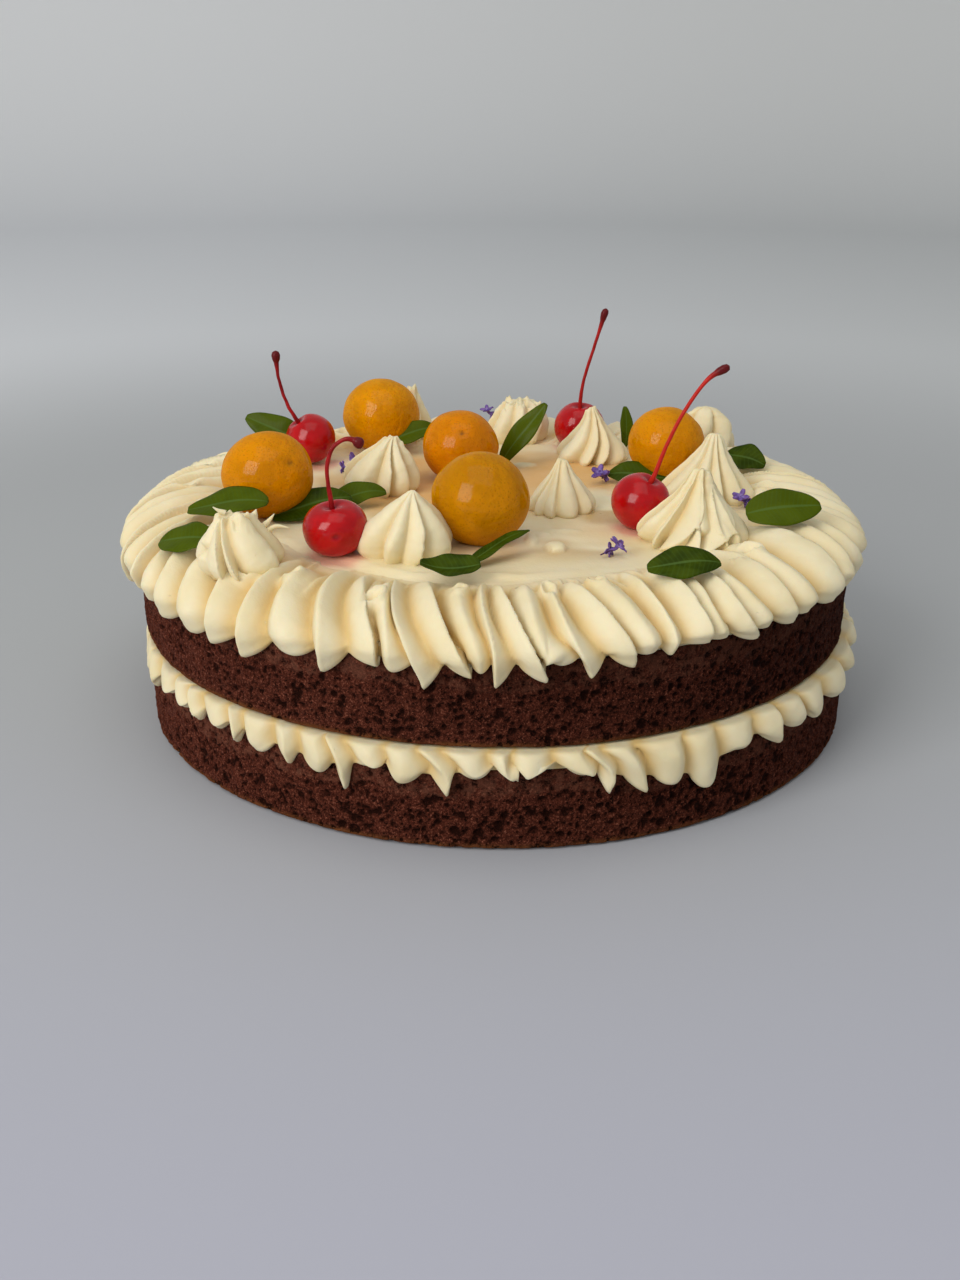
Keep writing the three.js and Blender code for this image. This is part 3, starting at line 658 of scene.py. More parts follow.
def leaf_look():
    look = Look("leaf", (0.024, 0.041, 0.001), Specular_IOR_Level=0.02, Coat_Weight=0.06, Coat_Roughness=0.16)
    across = look.maths("ABSOLUTE", look.mark("across"))
    slant = look.maths("SUBTRACT", look.mark("along"), look.maths("MULTIPLY", across, 0.22))
    veins = look.span(look.maths("SINE", look.maths("MULTIPLY", slant, 46.0)), 0.2, 1.0, 0, 0.16)
    look.layer(look.spots(6, 0.35, 0.65), (0.046, 0.072, 0.0015))
    look.layer("tint", (0.095, 0.13, 0.003))
    look.layer(veins, (0.06, 0.12, 0.02))
    look.layer(look.span(across, 0.04, 0.1, 0.5, 0), (0.09, 0.16, 0.035))
    look.layer("under", (0.1, 0.15, 0.05))
    return look.finished(look.spots(3, 0.3, 0.7, 0.3, 0.46), (0.06, 1.4), (0.04, veins))


def floret_look():
    look = Look(
        "floret", (0.1, 0.05, 0.24), Specular_IOR_Level=0.3, Subsurface_Weight=0.15, Subsurface_Scale=1.0 * MM
    )
    look.layer(look.spots(1.6, 0.35, 0.65), (0.22, 0.13, 0.42))
    look.layer("pale", (0.55, 0.42, 0.75))
    look.layer("stalk", (0.07, 0.02, 0.09))
    return look.finished(look.spots(1.0, 0.3, 0.7, 0.55, 0.75), (0.06, 0.5))


def piped_strokes(kinds, shells, special, seed, curls=0, sweep=0, bow=0):
    """Every stroke round the cake, with its own small differences.

    sweep and bow are how far the strokes lean and bow towards the front at the cake's sides.
    """
    draws = np.random.default_rng(seed)
    draw = draws.uniform
    strokes = []
    first = min(special)
    for k in range(first, first + SHELLS):
        loose = 0.25 if k in special else 1.0
        shell = shells[draws.integers(len(shells))]
        for kind, at, tip, *lean in special.get(k, shell):
            base = dict(zip(STROKE, kinds[kind]))
            angle = SHELL_START + (k + at) * PITCH + loose * draw(-0.7, 0.7)
            side = math.cos(math.radians(angle))
            strokes.append(dict(
                base, angle=angle, kind=kind, full=base["stop"] > 1,
                tip_z=tip + loose * draw(-1.6, 1.6),
                lean=lean[0] if lean else base["lean"] - sweep * side + draw(-1.5, 1.5),
                out=base["out"] * (1 + draw(-0.12, 0.06)),
                start=base["start"] + draw(-0.03, 0.06),
                hook=draw(-3.5, 4.5),
                bow=draw(-1.4, 0.8) - bow * side,
                swing=draw(-0.9, 0.4),
                swell=1 + draw(-0.16, 0.2),
            ))
        for _ in range(curls):
            base = dict(zip(STROKE, kinds["curl"]))
            angle = SHELL_START + (k + draw(0.1, 1.1)) * PITCH + 6
            side = math.cos(math.radians(angle))
            strokes.append(dict(
                base, angle=angle, full=False, swing=0,
                lean=draw(0, 12) - sweep * side,
                out=base["out"] * draw(0.5, 1.2),
                start=base["start"] + draw(-0.05, 0.1),
                stop=base["stop"] + draw(-0.08, 0.08),
                hook=draw(-6, 6),
                bow=draw(-2, 2) - bow * side,
                swell=draw(0.7, 1.4),
            ))
    return strokes


def fit_flanks(strokes, s):
    """Works out where each stroke's crest runs and how wide its flanks are, so that neighbours meet."""
    for stroke in strokes:
        line = stroke["angle"] - stroke["lean"] * (1 - s) + stroke["bow"] * sin(pi * s)
        line = line + stroke["swing"] * sin(2 * pi * s)
        stroke["line"] = line + stroke["hook"] * bell(s - stroke["start"], 0.09)
        narrow = (0.6 + 0.4 * ease(0.1, 0.7, s)) * stroke["swell"]
        stroke["left"], stroke["right"] = stroke["wide_left"] * narrow, stroke["wide_right"] * narrow
    whole = sorted((stroke for stroke in strokes if stroke["full"]), key=lambda stroke: stroke["angle"] % 360)
    for one, other in zip(whole, whole[1:] + whole[:1]):
        gap = clip(apart(other["line"], one["line"]), 0.8, None) * one["meet"]
        share = one["wide_right"] / (one["wide_right"] + other["wide_left"])
        one["right"], other["left"] = share * gap, (1 - share) * gap


def flank(x, roundness):
    """How high a stroke's flank is, for x from 0 at its foot to 1 at its crest."""
    x = clip(x, 0, 1)
    return mix(1 - cos(pi * x / 2), sin(pi * x / 2), roundness)


def stroke_field(strokes, s, angles):
    """How high the strokes stand at each place, and how far the surface there leans over in degrees.

    s runs from 0 at the strokes' inner ends to 1 at their tips.
    """
    fit_flanks(strokes, s)
    out = np.full((len(s), angles.shape[1]), -0.5)
    leaning, weights = np.zeros_like(out), np.full_like(out, 1e-6)
    for stroke in strokes:
        away = apart(angles, stroke["line"])
        left = flank(1 + away / stroke["left"], stroke["round_left"])
        right = flank(1 - away / stroke["right"], stroke["round_right"])
        envelope = ease(stroke["start"], stroke["start"] + 0.22, s)
        if stroke["stop"] < 1:
            envelope = envelope * (1 - ease(stroke["stop"] - 0.28, stroke["stop"], s))
        height = stroke["out"] * envelope * np.where(away < 0, left, right)
        weight = clip(height, 0, None) ** 4
        leaning += weight * stroke["over"]
        weights += weight
        out = soft_max(out, np.where(height > 0, height, -0.5), 0.1)
    return out, leaning / weights


def shell_grooves(strokes, s, angles):
    """Where the deep grooves between shells are: right of each blade."""
    grooves = np.zeros((len(s), angles.shape[1]))
    for stroke in strokes:
        if stroke["wide_right"] < stroke["wide_left"] / 2:
            gap = apart(angles, stroke["line"]) - stroke["right"]
            grooves = maximum(grooves, bell(gap, 0.6) * ease(0.3, 0.55, s))
    return grooves


def tip_line(strokes, angles):
    """The height of the piped edge all round: wide lobes, with the points and blades hanging below them."""
    tipped = [stroke for stroke in strokes if stroke["tip"] is not None]
    level, weights = np.zeros_like(angles), np.full_like(angles, 1e-6)
    for stroke in tipped:
        weight = bell(apart(angles, stroke["angle"]), 5.0)
        level += weight * (stroke["tip_z"] + (0 if stroke["kind"] == "lobe" else 1.2))
        weights += weight
    level = minimum(level / weights + 3.2, CREAM_EDGE)
    drop = np.zeros_like(angles)
    for stroke in tipped:
        away = apart(angles, stroke["angle"])
        x = np.where(away < 0, 1 + away / stroke["left"][-1], 1 - away / stroke["right"][-1])
        hang = maximum(level - stroke["tip_z"], 0.6)
        drop = soft_max(drop, hang * flank((x - NOTCH) / (1 - NOTCH), stroke["tip"]) ** 0.75, 0.3)
    return level - drop


def least_radius(s):
    return (SKIRT_R + 0.3) * ease(0.2, 0.85, s) ** 0.12


def piped_ring(strokes, crest, groove, s, columns, deep, plump, curled=None):
    """The outer face of a piped ring, from the inside out: polar points, and how much of a crest each is.

    deep is how far the grooves between shells sink, and plump is how thick a crest's lower end is.
    """
    s = s[:, None]
    crest_line, groove_line = smooth_path(crest, s[:, 0]), smooth_path(groove, s[:, 0])
    angles = linspace(-180, 180, columns, endpoint=False)[None, :]
    out, leaning = stroke_field(strokes, s, angles)
    grooves = shell_grooves(strokes, s, angles)
    relief, calm = curled(s[:, 0], angles) if curled else (0, 0)
    out = mix(out, 0.72, calm)
    grooves = grooves * (1 - calm)
    floor = 0.06 * ease(0.15, 0.45, s) * (1 - grooves) - 0.15 * grooves
    out = soft_max(out, floor, 0.16)
    radius = mix(groove_line[:, :1], crest_line[:, :1], out) - deep * grooves * (1 - clip(2 * out, 0, 1))
    radius = maximum(radius, least_radius(s))
    z = mix(groove_line[:, 1:], crest_line[:, 1:], out)
    hang = clip((s - 0.55) / 0.45, 0, 1) ** 1.5
    z = z + (tip_line(strokes, angles) + plump * clip(out[-1:], 0, 1) - z[-1]) * hang
    outwards = ease(0.45, 0.8, s)
    angle = angles + leaning * clip(out, 0, 1) ** 2 * ease(0.15, 0.5, s)
    face = points_at(radius + relief * outwards, angle, z + relief * (1 - outwards))
    return face, clip(out + 0.25 * minimum(relief, 0), 0, 1)


def hang_edge(face, plump, steps, inner_r, foot_z):
    """Closes a piped face below: its lower edge, as thick as plump, its underside and its inner side."""
    edge = face[-1]
    under = []
    for inward, down in steps:
        ring = edge - points_at(inward * plump, 0, down * plump)
        ring[:, 0] = maximum(ring[:, 0], inner_r + 0.15)
        under.append(ring)
    inner = edge.copy()
    inner[:, 0] = inner_r
    foot = inner.copy()
    foot[:, 2] = foot_z
    return np.stack([*face, *under, inner + (0, 0, 0.6), foot])


def curl_relief(s, angles):
    """How far the border stands out for its curls, and how much of the shells they cover."""
    draw = np.random.default_rng(77).uniform
    curls = list(CURLS)
    for k in range(CURLS_BEHIND):
        bearing = -14 + (k + draw(0.2, 0.8)) * 208 / CURLS_BEHIND
        half = draw(1.8, 3)
        curls.append((bearing, draw(14, 31), half, 1.4 * half, draw(1.2, 1.8), draw(0, 360), 240))
    section = smooth_path(BORDER_CREST, s)
    run = run_along(section)[:, None]
    relief = np.zeros((len(s), angles.shape[1]))
    calm = np.zeros_like(relief)
    for bearing, way_out, across, deep, rise, middle, sweep in curls:
        u = radians(apart(angles, bearing)) * section[:, :1] / across
        v = (run - way_out) / deep
        off = np.hypot(u, v)
        turn = np.abs(apart(np.degrees(np.arctan2(v, u)), middle))
        bow = 1 - ease(sweep / 2 - 30, sweep / 2 + 30, turn)
        relief += rise * (bell((off - 1) * across) * bow - 0.7 * bell(off, 0.5))
        calm = maximum(calm, 0.85 * (1 - ease(0.9, 1.7, off)))
    return relief, calm


def border_skin():
    strokes = piped_strokes(BORDER_KINDS, BORDER_SHELLS, BORDER_FRONT, 11, curls=4, sweep=14, bow=5.5)
    columns, rows = BORDER_GRID
    even = linspace(0, 1, rows)
    steps = even - 0.45 * even * (1 - even)
    face, out = piped_ring(strokes, BORDER_CREST, BORDER_GROOVE, steps, columns, 2.4, 1.2, curl_relief)
    tilt = cos(radians(face[..., 1]))
    along = steps[:, None]
    face[..., 2] += 1.4 * tilt * along**2
    face[..., 0] -= 0.9 * (tilt + tilt**2) * along
    face[..., 0] = maximum(face[..., 0], least_radius(along))
    face[..., 1] += UPPER_TURN
    lip = bell(apart(face[..., 1], LIP_AT), LIP_HALF, 4)
    face[..., 2] -= 1.1 * lip * (1 - ease(0.05, 0.4, along))
    place = from_polar(face)
    relief = 0.28 * noise(place, 4.5, 1) + 0.1 * noise(place, 1.6, 2)
    face[..., 0] += relief * ease(0.3, 0.8, along)
    face[..., 2] += relief * (1 - ease(0.4, 0.9, along)) * ease(0, 0.1, along)
    plump = 0.4 + 0.8 * out[-1]
    rings = hang_edge(face, plump, [(0.5, 0.9), (1.5, 1.45), (2.7, 1.3)], SKIRT_R, CREAM_RIM + 0.2)
    # Painted shade in the grooves between strokes, by how much of a crest each point is; the inner ends are
    # kept mostly light.
    ridge = maximum(out, 0.75 * (1 - ease(0.02, 0.3, along)))
    ridge = np.vstack([ridge, np.repeat(out[-1:], len(rings) - len(out), 0)])
    blush = np.zeros_like(ridge)
    blush[:len(face)] = 0.3 * (1 - ease(0.0, 0.2, along)) * (1 - out)
    faces = grid_faces(*rings.shape[:2], wrap_rows=True)
    return Skin(from_polar(rings), faces, ridge=ridge.ravel(), blush=blush.ravel()).moved((UPPER_SHIFT, 0, 0))


def filling_skin():
    strokes = piped_strokes(FILLING_KINDS, FILLING_SHELLS, FILLING_FRONT, 411)
    columns, rows = FILLING_GRID
    steps = linspace(0, 1, rows)
    face, out = piped_ring(strokes, FILLING_CREST, FILLING_GROOVE, steps, columns, 0.3, 0.8)
    share = 0.74 + 0.02 * cos(radians(face[..., 1]))
    share = share * (1 - 0.8 * bell(apart(face[..., 1], 182), 21, 4))
    face[..., 0] = SKIRT_R + (face[..., 0] - SKIRT_R) * share
    place = from_polar(face)
    relief = 0.18 * noise(place, 3.5, 5) + 0.06 * noise(place, 1.4, 6)
    face[..., 0] += relief * ease(0.1, 0.4, steps)[:, None]
    plump = 0.4 + 0.7 * out[-1]
    rings = hang_edge(face, plump, [(0.5, 0.7), (1.3, 1.1), (2.2, 1.0)], LOWER_TOP_R + 0.1, LOWER_TOP)
    # Painted shade in the grooves between the filling's strokes, by how much of a crest each point is.
    ridge = 0.15 + 0.85 * np.vstack([out, np.repeat(out[-1:], len(rings) - len(out), 0)])
    return closed(from_polar(rings), (0, 0, UPPER_BOTTOM), (0, 0, LOWER_TOP), ridge=ridge)


def sponge_pores(draws, rows, columns, across, up):
    """How deep the pores are. across and up are the steps between points."""
    draw = draws.uniform
    pore = np.zeros((rows, columns))
    for _ in range(PORES):
        size = min(0.28 + 0.22 * draws.exponential(), 1.5)
        wide, tall = size * draw(0.8, 1.4), size * draw(0.8, 1.2)
        column, row = draw(0, columns), draw(1, rows - 2)
        depth = min(1.1, 0.4 + 0.7 * size) * draw(0.6, 1.0)
        dj, di = int(2 * wide / across) + 1, int(2 * tall / up) + 1
        j = np.arange(int(column) - dj, int(column) + dj + 2)
        i = np.arange(max(0, int(row) - di), min(rows, int(row) + di + 2))
        reach = ((j[None, :] - column) * across / wide) ** 2 + ((i[:, None] - row) * up / tall) ** 2
        window = np.ix_(i, j % columns)
        pore[window] = maximum(pore[window], depth * clip(1 - reach, 0, 1) ** 0.7)
    return pore


def sponge_skin(bottom, top, foot_r, top_r, seed, right_shade):
    """A sponge with a torn, porous side. The last argument is how much painted shade darkens its right side.
    """
    columns, rows = SPONGE_GRID
    edge = 1.4
    height = top - bottom
    share = linspace(0, 1, rows)[:, None]
    z = bottom + height * share
    angle = circle(columns)
    near = minimum(z - bottom, top - z)
    radius = mix(foot_r, top_r, share) - edge * (1 - np.sqrt(1 - clip(1 - near / edge, 0, 1) ** 2))
    place = round_points(radius, angle, z)
    relief = 0.25 * noise(place, 16, seed) + 0.2 * noise(place, 4, seed + 1)
    relief += 0.24 * noise(place, 1.2, seed + 2)
    draws = np.random.default_rng(seed)
    pore = sponge_pores(draws, rows, columns, 2 * pi * foot_r / columns, height / (rows - 1))
    inside = ease(0, 0.06, share) * ease(0, 0.06, 1 - share)
    crust = ease(top - 8.8, top - 7.2, z + 2.0 * noise(place, 8, seed + 7))
    pore *= 1 - 0.3 * crust
    radius = radius + relief * (0.5 + 0.5 * inside) - pore * inside
    crumbled = 0.45 * clip(1.4 * noise(place, 2.2, seed + 8), 0, 1) * exp(bottom - z)
    browned = bell(z - bottom - 0.6, 0.95) * (0.85 + 0.6 * noise(place, 5, seed + 5))
    return closed(
        round_points(radius, angle, z + crumbled), (0, 0, bottom), (0, 0, top),
        pore=clip(pore / 0.8, 0, 1), crust=crust, browned=clip(browned, 0, 1),
        # Painted shade: darker towards the right side, where less light falls.
        moist=right_shade * ease(-1.3, 1.1, cos(angle) + 0.25 * noise(place, 25, seed + 6)),
    )


def cream_top_skin():
    """The spread cream, smoothed out to a thin lip, with the pools of colour under the cherries."""
    columns, rows = SPREAD_GRID
    angle = circle(columns)
    radius = CREAM_R * linspace(0.004, 1, rows)[::-1][:, None]
    place = round_points(radius, angle, 0)
    x, y = place[..., 0], place[..., 1]
    lip = LIP_R + 2.6 * noise(place, 24, 15) + 1.2 * noise(place, 7, 16)
    front = bell(apart(np.degrees(angle), LIP_AT), LIP_HALF, 4)
    step = 0.25 + 1.3 * front * (1 + 0.5 * noise(place, 16, 17))
    past = radius - lip
    z = CREAM_TOP + 0.25 - step * ease(-0.4, 2.6, past)
    z = z - (CREAM_TOP - CREAM_RIM - 1.6) * clip((radius - FLAT_R) / (CREAM_R - FLAT_R), 0, 1)
    swept = noise(points_at(x * 0.28 + y * 0.1, y, 0), 6, 8)
    z += (1 - ease(-4, 0, past)) * (0.3 * noise(place, 18, 7) + 0.22 * swept)
    z += (step - 0.2) * 0.3 * bell(past, 1.3)
    dab, stain = np.zeros_like(x), np.zeros_like(x)
    for (bx, by), (across, deep), rise in DABS:
        reach = ((x - bx) / across) ** 2 + ((y - by) / deep) ** 2 + 0.25 * noise(place, 3, 18)
        dab = maximum(dab, rise * clip(1 - reach, 0, 1) ** 0.35)
    for cherry in CHERRIES:
        cx, cy, _ = cherry[0]
        away = np.hypot(x - cx - 1, y - cy + 1) + 1.2 * noise(place, 5, 9)
        stain = maximum(stain, 0.55 * bell(clip((away - 7) / 2.6, 0, 9), 1, 1.6))
    tint = (1 - 0.85 * ease(-20, -5, past + 4 * noise(place, 12, 19))) * (1 - clip(1.6 * dab, 0, 1))
    marks = {
        "ridge": 0.76 + 0.24 * clip(dab, 0, 1),
        "stain": stain,
        "wet": 0.75 * ease(-0.1, 0.6, noise(place, 18, 12) + 0.3 * noise(place, 6, 14)) * tint,
        "blush": 0.95 * ease(-0.65, 0.35, noise(place, 30, 13)) * tint,
    }
    rings = points_at(x + UPPER_SHIFT * ease(80, 105, radius), y, z + dab)
    rim = rings[:1] * (1, 1, 0) + (0, 0, UPPER_TOP - 0.5)
    marks = {name: np.vstack([values[:1], values]) for name, values in marks.items()}
    return closed(np.concatenate([rim, rings]), (0, 0, UPPER_TOP - 0.5), **marks)


def kiss_skin(name, kiss, seed):
    """A piped kiss: a domed foot of broad and sharp ribs that draws in to a torn peak."""
    at_x, at_y, r, high, form, deep, lean, peak, ragged, shown = kiss
    draws = np.random.default_rng(seed)
    draw = draws.uniform
    columns, rows = (216, 66) if r > 15 else (152, 50)
    ribs = [(kind, angle + draw(-3, 3), *more) for kind, angle, *more in shown]
    bearing = ribs[-1][1] + 46
    while bearing < ribs[0][1] + 360 - 30:
        ribs.append((("broad", "medium", "sharp", "medium")[draws.integers(4)], bearing, draw(0, 20)))
        bearing += draw(36, 54)
    strokes = []
    for kind, angle, twist, *more in ribs:
        bow, start, stop = (*more, *(0, -0.3, 2)[len(more):])
        rib = dict(zip(STROKE, RIBS[kind]))
        strokes.append(dict(
            rib, angle=angle, lean=-twist, bow=bow + draw(-3, 3), hook=0, swing=0, start=start, stop=stop,
            full=start < 0 and stop > 1, swell=draw(0.9, 1.12), out=rib["out"] * draw(0.92, 1.03),
        ))
    t = linspace(0, 1, rows)[:, None]
    angles = linspace(-180, 180, columns, endpoint=False)[None, :]
    out, leaning = stroke_field(strokes, 1 - t, angles)
    out = soft_max(out, 0.05, 0.3)
    heights, widths = KISS_FORMS[form]
    places = np.interp(t[:, 0], heights, linspace(0, 1, len(heights)))
    width = smooth_path([(w, 0) for w in widths], places)[:, :1]
    deep = deep * (1 - 0.5 * ease(0.8, 1, t))
    uneven = 1 + 0.16 * noise(round_points(1, radians(angles), t) + 7.3 * seed, 0.8, seed + 2) * (1 - t)
    radius = r * width * uneven * (1 - deep * (1 - out))
    angle = radians(angles + leaning * clip(out, 0, 1) ** 2)
    blunt = ease(0.6, 1, t) * (0.55 + 0.45 * out)
    x = (radius + peak[0] * blunt) * cos(angle)
    y = (radius + peak[1] * blunt) * sin(angle)
    torn = noise(points_at(x, y, 9 * seed), 1.3, seed)
    height = high * t + ragged * ease(0.72, 1, t) * torn * 1.3
    place = points_at(x + lean[0] * t**2, y + lean[1] * t**2, height)
    bumps = 0.3 * noise(place + 50 * seed, 3.4, seed) + 0.07 * noise(place, 1.1, seed + 1)
    place = place + round_points(bumps * minimum(1, 4 * width), angle, 0)
    place[0, :, 2] = -0.6
    last = place[-1].mean(0) + (0, 0, 0.15)
    # Painted shade in the grooves between the ribs, by how much of a crest each point is.
    skin = closed(place, (0, 0, -0.6), last, ridge=mix(0.3, 1.0, clip(out, 0, 1)))
    if name == "kiss_1":
        skin = join(skin, *(
            rod_skin([root, bend, tip], [thick, 0.8 * thick, 0.5 * thick, 0.12], 10, 14, ridge=[1, 1])
            for root, bend, tip, thick in TONGUES
        ))
    return skin.moved((at_x, at_y, CREAM_TOP))


def ball_rings(r, columns, rows):
    polar = pi * (1 - linspace(0, 1, rows + 2)[1:-1])[:, None]
    away = round_points(sin(polar), circle(columns), cos(polar))
    return away * r, away, polar


def off_axis(away, axis):
    """The angle between each of some unit vectors and an axis."""
    return np.arccos(clip(away @ (np.array(axis) / np.linalg.norm(axis)), -1, 1))


def fruit_skin(name, fruit, seed):
    """A candied fruit, a little uneven, with the dent where its stalk was."""
    x, y, r, _, _, scar_at = fruit
    points, away, _ = ball_rings(r, 84, 54)
    bumps = 0.38 * noise(points + 30 * seed, 9, seed) + 0.12 * noise(points, 3.2, seed + 1)
    scar = 0
    if scar_at:
        off = off_axis(away, scar_at) * r
        bumps = bumps - 0.5 * bell(off, 1.5) + 0.15 * bell(off - 1.6, 0.7)
        scar = 0.85 * bell(off, 0.75)
    points = points + away * bumps[..., None]
    points[..., 2] *= FRUIT_FLAT
    return closed(points, scar=scar).moved((x, y, CREAM_TOP + FRUIT_FLAT * r - FRUIT_SINK))


def cherry_skins(cherry, seed):
    """A cherry whose top draws in to the stem, and its stem. It is tilted to its right, and nods forwards."""
    at, r, flat, tilt, nod, (knob_long, knob_r), bright, hole, bends = cherry
    turn = turned(rise=-tilt) @ turned(roll=nod)
    points, away, polar = ball_rings(r, 84, 56)
    angle = np.arctan2(away[..., 1], away[..., 0])
    folds = 0.14 * bell(polar - 0.5, 0.3) * cos(3 * angle + seed)
    points[..., 2] = flat * points[..., 2] - DIMPLE * bell(polar, 0.26)
    if flat < 0.9:
        points = points * (1 + 0.05 * sin(2 * polar) ** 2)[..., None]
    points = points + away * (folds + 0.14 * noise(points + 30 * seed, 5, seed))[..., None]
    # Painted shade in the dimple at the stem, and in the pit's hole where there is one.
    pit = bell(polar, 0.28)
    if hole:
        off = off_axis(away, hole) * r
        points = points - away * (0.7 * bell(off))[..., None]
        pit = maximum(pit, 0.9 * bell(off, 1.1, 4))
    flesh = closed(points, None, (0, 0, flat * r - DIMPLE), pit=pit).moved(at, turn)

    start = turn @ (0, 0, flat * r - DIMPLE - 0.6)
    rim = turn @ (0, 0, flat * r + 1.6)
    back = linspace(0.75, 0, len(bends))
    places = [start, rim]
    places += [(rim[0] + right, rim[1] * near, rim[2] + up) for (right, up), near in zip(bends, back)]
    length = sum(math.dist(a, b) for a, b in zip(places, places[1:]))
    knob = knob_long / length
    thin, neck = STEM_R * 0.8, STEM_R * 1.15
    radii = [(0, STEM_R * 1.4), (2.2 / length, STEM_R), (0.3, thin), (1 - 2 * knob, thin), (1 - knob, neck)]
    for share, thick in ((0.75, 0.82), (0.35, 0.95), (0.08, 0.7), (0, 0.2)):
        radii.append((1 - share * knob, thick * knob_r))
    stem = rod_skin(
        places, radii, 16, 96, bright=[bright] * 2,
        knob=[(0, 0.0), (1 - 1.6 * knob, 0.0), (1 - 0.7 * knob, 1.0), (1, 1.0)],
    )
    stem.points += 0.1 * noise(stem.points, 2.2, 4)[:, None]
    return flesh, stem.moved(at)


def leaf_skin(name, leaf, seed):
    """A small leaf: a pointed oval, folded along its midrib, waved and bent at its ends."""
    x, y, length, width, heading, rise, roll, fold = leaf
    draw = np.random.default_rng(seed).uniform
    t = linspace(0.012, 0.992, 34)[:, None]
    across = linspace(-1, 1, 15)
    half = width / 2 * sin(pi * (0.02 + 0.96 * t) ** draw(0.8, 1.15)) ** 0.66
    py = across * half * (1 + 0.03 * sin(7 * t + draw(0, 6)))
    wave = draw(-0.6, 0.6) * sin(2 * pi * t) + LEAF_BEND.get(name, -1.4) * (2 * t - 1) ** 2
    ripple = 0.25 * sin(14 * t + draw(0, 6)) * across * np.abs(across)
    crease = math.tan(math.radians(fold)) * np.sqrt(py**2 + 0.25)
    pz = crease - 0.12 * py**2 / max(width / 2, 1) + wave + ripple
    thick = LEAF_THICK * (0.25 + 0.75 * np.sqrt(clip(1 - across**2, 0, 1)))
    skin = closed(
        sheet_rings(length * (t - 0.5), py, pz, thick),
        (-length / 2, 0, wave[0, 0]), (length / 2, 0, wave[-1, 0]),
        along=t * length / 10, across=np.append(across, across[::-1]), under=np.repeat([0, 1], len(across)),
        tint=LEAF_LIGHT.get(name, draw(0, 0.55)),
    )
    return skin.moved((x, y, 0), turned(heading, rise, roll)).levelled(name)


def petal_skin(length, width, rise, seed):
    """One thin petal from the origin, cupped along its length."""
    t = linspace(0, 1, 10)[:, None]
    across = linspace(-1, 1, 7)
    half = width / 2 * sin(pi * (0.08 + 0.84 * t)) ** 0.6
    pz = 0.5 * length * (t - 0.3) ** 2 + 0.5 * half * across**2 + 0.12 * sin(7 * t + 3 * across + seed)
    skin = closed(sheet_rings(length * t, across * half, pz, PETAL_THICK))
    skin.marks["pale"] = 0.7 * ease(0.6, 0.0, np.linalg.norm(skin.points, axis=1) / length)
    return skin.moved(turn=turned(rise=rise))


def floret_skin(name, floret, seed):
    """A lavender floret: two open flowers of pointed petals back to back, and a thin stalk."""
    x, y, length, r, heading, rise = floret
    draw = np.random.default_rng(seed).uniform
    parts = []
    for way, share in ((0, 1.0), (draw(120, 170), 0.8)):
        tilt = turned(way, draw(0, 30))
        tube = rod_skin([(0, 0, 0), (r * 0.3, 0, 0.1), (r * 0.6, 0, 0)], [0.5, 0.65, 0.8], 12, 8)
        parts.append(tube.moved(turn=tilt))
        for number in range(5):
            petal = petal_skin(r * share * draw(0.85, 1.15), r * 0.62 * share, draw(35, 80), seed + number)
            spin = turned(roll=72 * number + draw(-15, 15))
            parts.append(petal.moved(tilt @ (r * 0.5, 0, 0), tilt @ spin))
    bends = [(0, 0, 0), (-0.3 * length, 0.4, 0.3), (-0.62 * length, -0.3, 0.9)]
    parts.append(rod_skin(bends, [0.3, 0.24, 0.2], 8, 12, stalk=[1, 1]))
    return join(*parts).moved((x, y, 0), turned(heading, rise)).levelled(name)


def add_kind(word, part, rows, make, seed, material, slot):
    """Adds a piece for each row of a table, with its own seed and in place of the solid of its number."""
    for number, row in enumerate(rows):
        name = f"{word}_{number + 1}"
        add_piece(f"{name}_{part}", make(name, row, seed + number), material, slot, name)


def add_camera():
    data = bpy.data.cameras.new("camera")
    data.sensor_width = SENSOR
    data.lens = FOCAL_PIXELS * SENSOR / PICTURE_HEIGHT
    data.clip_start, data.clip_end = 0.01, 20
    turns = ((-CAMERA_YAW, "Z"), (90 - CAMERA_DOWN, "X"), (-CAMERA_ROLL, "Z"))
    yaw, down, roll = (Matrix.Rotation(math.radians(angle), 4, axis) for angle, axis in turns)
    camera = add_object("camera", data)
    camera.matrix_world = Matrix.Translation(Vector(CAMERA_AT) * MM) @ yaw @ down @ roll
    bpy.context.scene.camera = camera


def add_light(name, place, target, width, height, power, colour):
    data = bpy.data.lights.new(name, "AREA")
    data.shape = "RECTANGLE"
    data.size, data.size_y = width, height
    data.energy = power
    data.color = colour
    light = add_object(name, data)
    light.location = place
    light.rotation_euler = (Vector(target) - Vector(place)).to_track_quat("-Z", "Y").to_euler()


def stage_look():
    """The stage's greys: front to back on the floor, and painted shade on the wall and at its foot, darker to
    the right and darker at the foot than on the wall.
    """
    look = Look("stage", None, Specular_IOR_Level=0.3)
    away = look.node("VectorMath", Vector=look.place)
    away.operation = "LENGTH"
    away = away.outputs["Value"]
    sides = look.node("SeparateXYZ", Vector=look.place).outputs
    floor = look.blend(look.span(sides["Y"], -0.35, 0.05), (0.47, 0.475, 0.555), (0.44, 0.455, 0.46))
    # Painted shade: the wall and its foot grow darker to the right, away from the window, and the foot is
    # darker than the wall.
    foot = look.blend(look.span(sides["X"], -0.6, 0.6), (0.76, 0.78, 0.8), (0.62, 0.64, 0.64))
    wall = look.blend(look.span(sides["X"], -1.0, 0.8), (0.95, 0.96, 0.96), (0.8, 0.81, 0.8))
    foot = look.blend(look.span(away, 1.6, 2.4), foot, wall)
    look.body = look.blend(look.span(away, 0.3, 0.75), floor, foot)
    return look.finished(0.6)


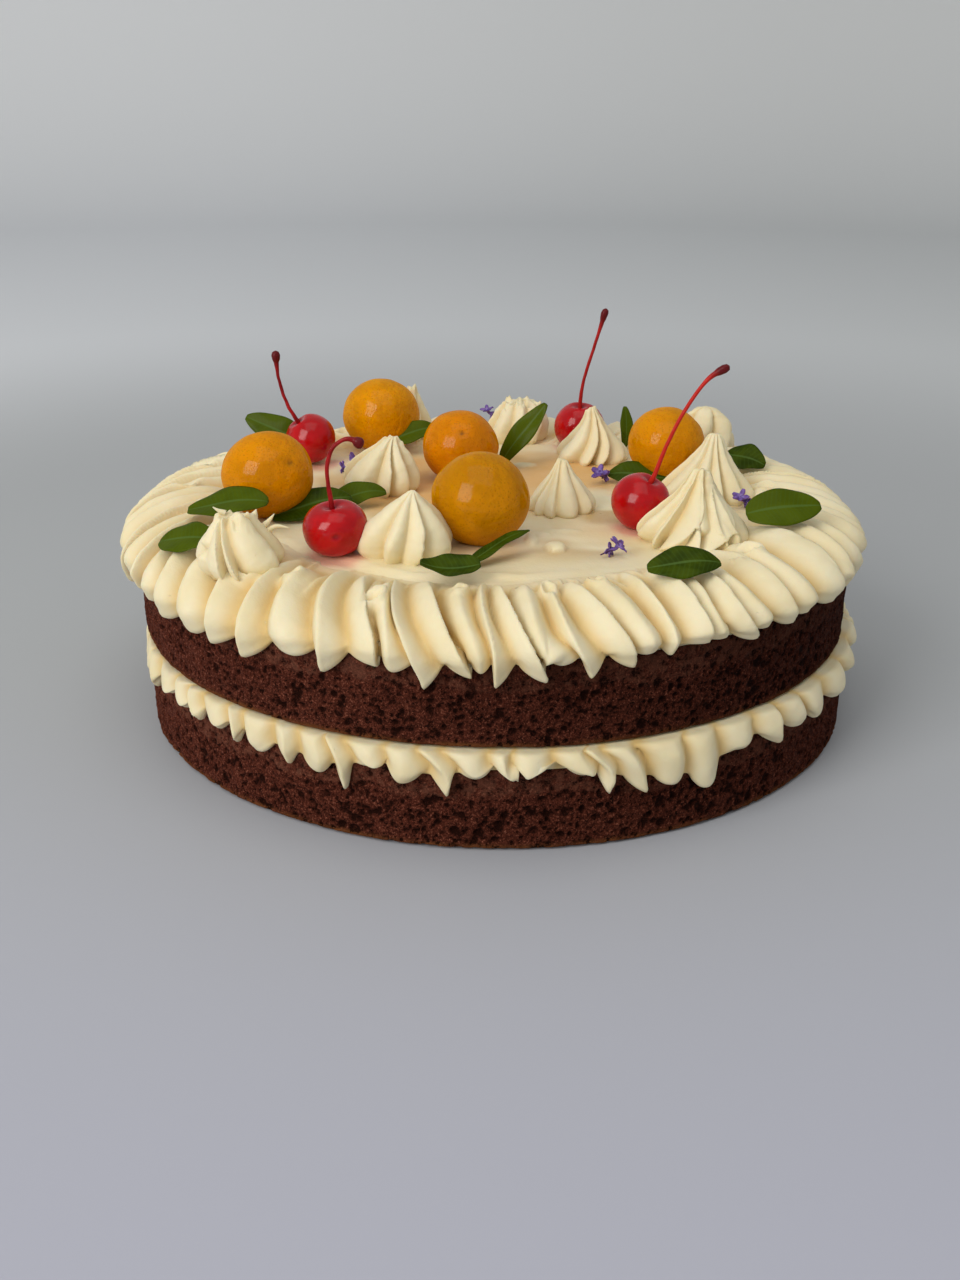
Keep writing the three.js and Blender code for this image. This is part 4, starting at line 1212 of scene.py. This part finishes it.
def add_stage():
    """A pale floor that curves up into a low wall all round."""
    turn_at, turn_r, sides = 1.7, 0.8, 96
    line = [(0.25, 0.0), (0.6, 0.0), (turn_at, 0.0)]
    line += [(turn_at + turn_r * sin(a), turn_r * (1 - cos(a))) for a in linspace(0.1, pi / 2, 12)]
    points = [(0, 0, -FLOOR_GAP)]
    points += [(r * cos(a), r * sin(a), z - FLOOR_GAP) for r, z in line for a in circle(sides)]
    middle = [(0, 1 + k, 1 + (k + 1) % sides) for k in range(sides)]
    faces = middle + (1 + grid_faces(len(line), sides)[:, ::-1]).tolist()
    add_object("stage", smooth_mesh("stage", points, faces, stage_look()))


cream = cream_look()
sponge = sponge_look()
cherry_red = cherry_look()
stem_red = stem_look()

lower_crumb = sponge_skin(0, LOWER_TOP, LOWER_FOOT_R, LOWER_TOP_R, 100, 0.7)
upper_crumb = sponge_skin(UPPER_BOTTOM, UPPER_TOP, UPPER_R, UPPER_R + 0.5, 200, 1.0)
add_piece("lower_sponge_crumb", lower_crumb, sponge, "sponge", "lower_sponge")
add_piece("upper_sponge_crumb", upper_crumb.moved((UPPER_SHIFT, 0, 0)), sponge, "sponge", "upper_sponge")
add_piece("filling_cream", filling_skin(), cream, "cream", "filling")
add_piece("spread_cream", cream_top_skin(), cream, "cream", "cream_top")
add_piece("border_cream", border_skin(), cream, "cream", "cream_border")
add_kind("kiss", "cream", KISSES, kiss_skin, 300, cream, "cream")
for number, fruit in enumerate(FRUITS):
    name = f"fruit_{number + 1}"
    look = fruit_look(name, *fruit[3:5])
    add_piece(name + "_peel", fruit_skin(name, fruit, 400 + number), look, "fruit", name)
for number, cherry in enumerate(CHERRIES):
    name = f"cherry_{number + 1}"
    flesh, stem = cherry_skins(cherry, 500 + number)
    add_piece(name + "_flesh", flesh, cherry_red, "cherry", name)
    add_piece(name + "_stalk", stem, stem_red, "stem", name + "_stem")
add_kind("leaf", "blade", LEAVES, leaf_skin, 600, leaf_look(), "leaf")
add_kind("floret", "petals", FLORETS, floret_skin, 700, floret_look(), "floret")

add_camera()
add_stage()
add_light("window", (-1.0, -1.2, 1.0), (0, 0, 0.05), 0.9, 1.1, 17.5, (1.0, 0.985, 0.96))
add_light("above", (0.0, -0.35, 1.6), (0, 0, 0.05), 1.4, 1.4, 5.4, (1.0, 0.99, 0.97))
world = bpy.data.worlds.new("world")
world.use_nodes = True
world.node_tree.nodes["Background"].inputs["Color"].default_value = (0.97, 0.98, 1.0, 1)
world.node_tree.nodes["Background"].inputs["Strength"].default_value = 0.42
bpy.context.scene.world = world
bpy.context.scene.view_settings.view_transform = "Standard"
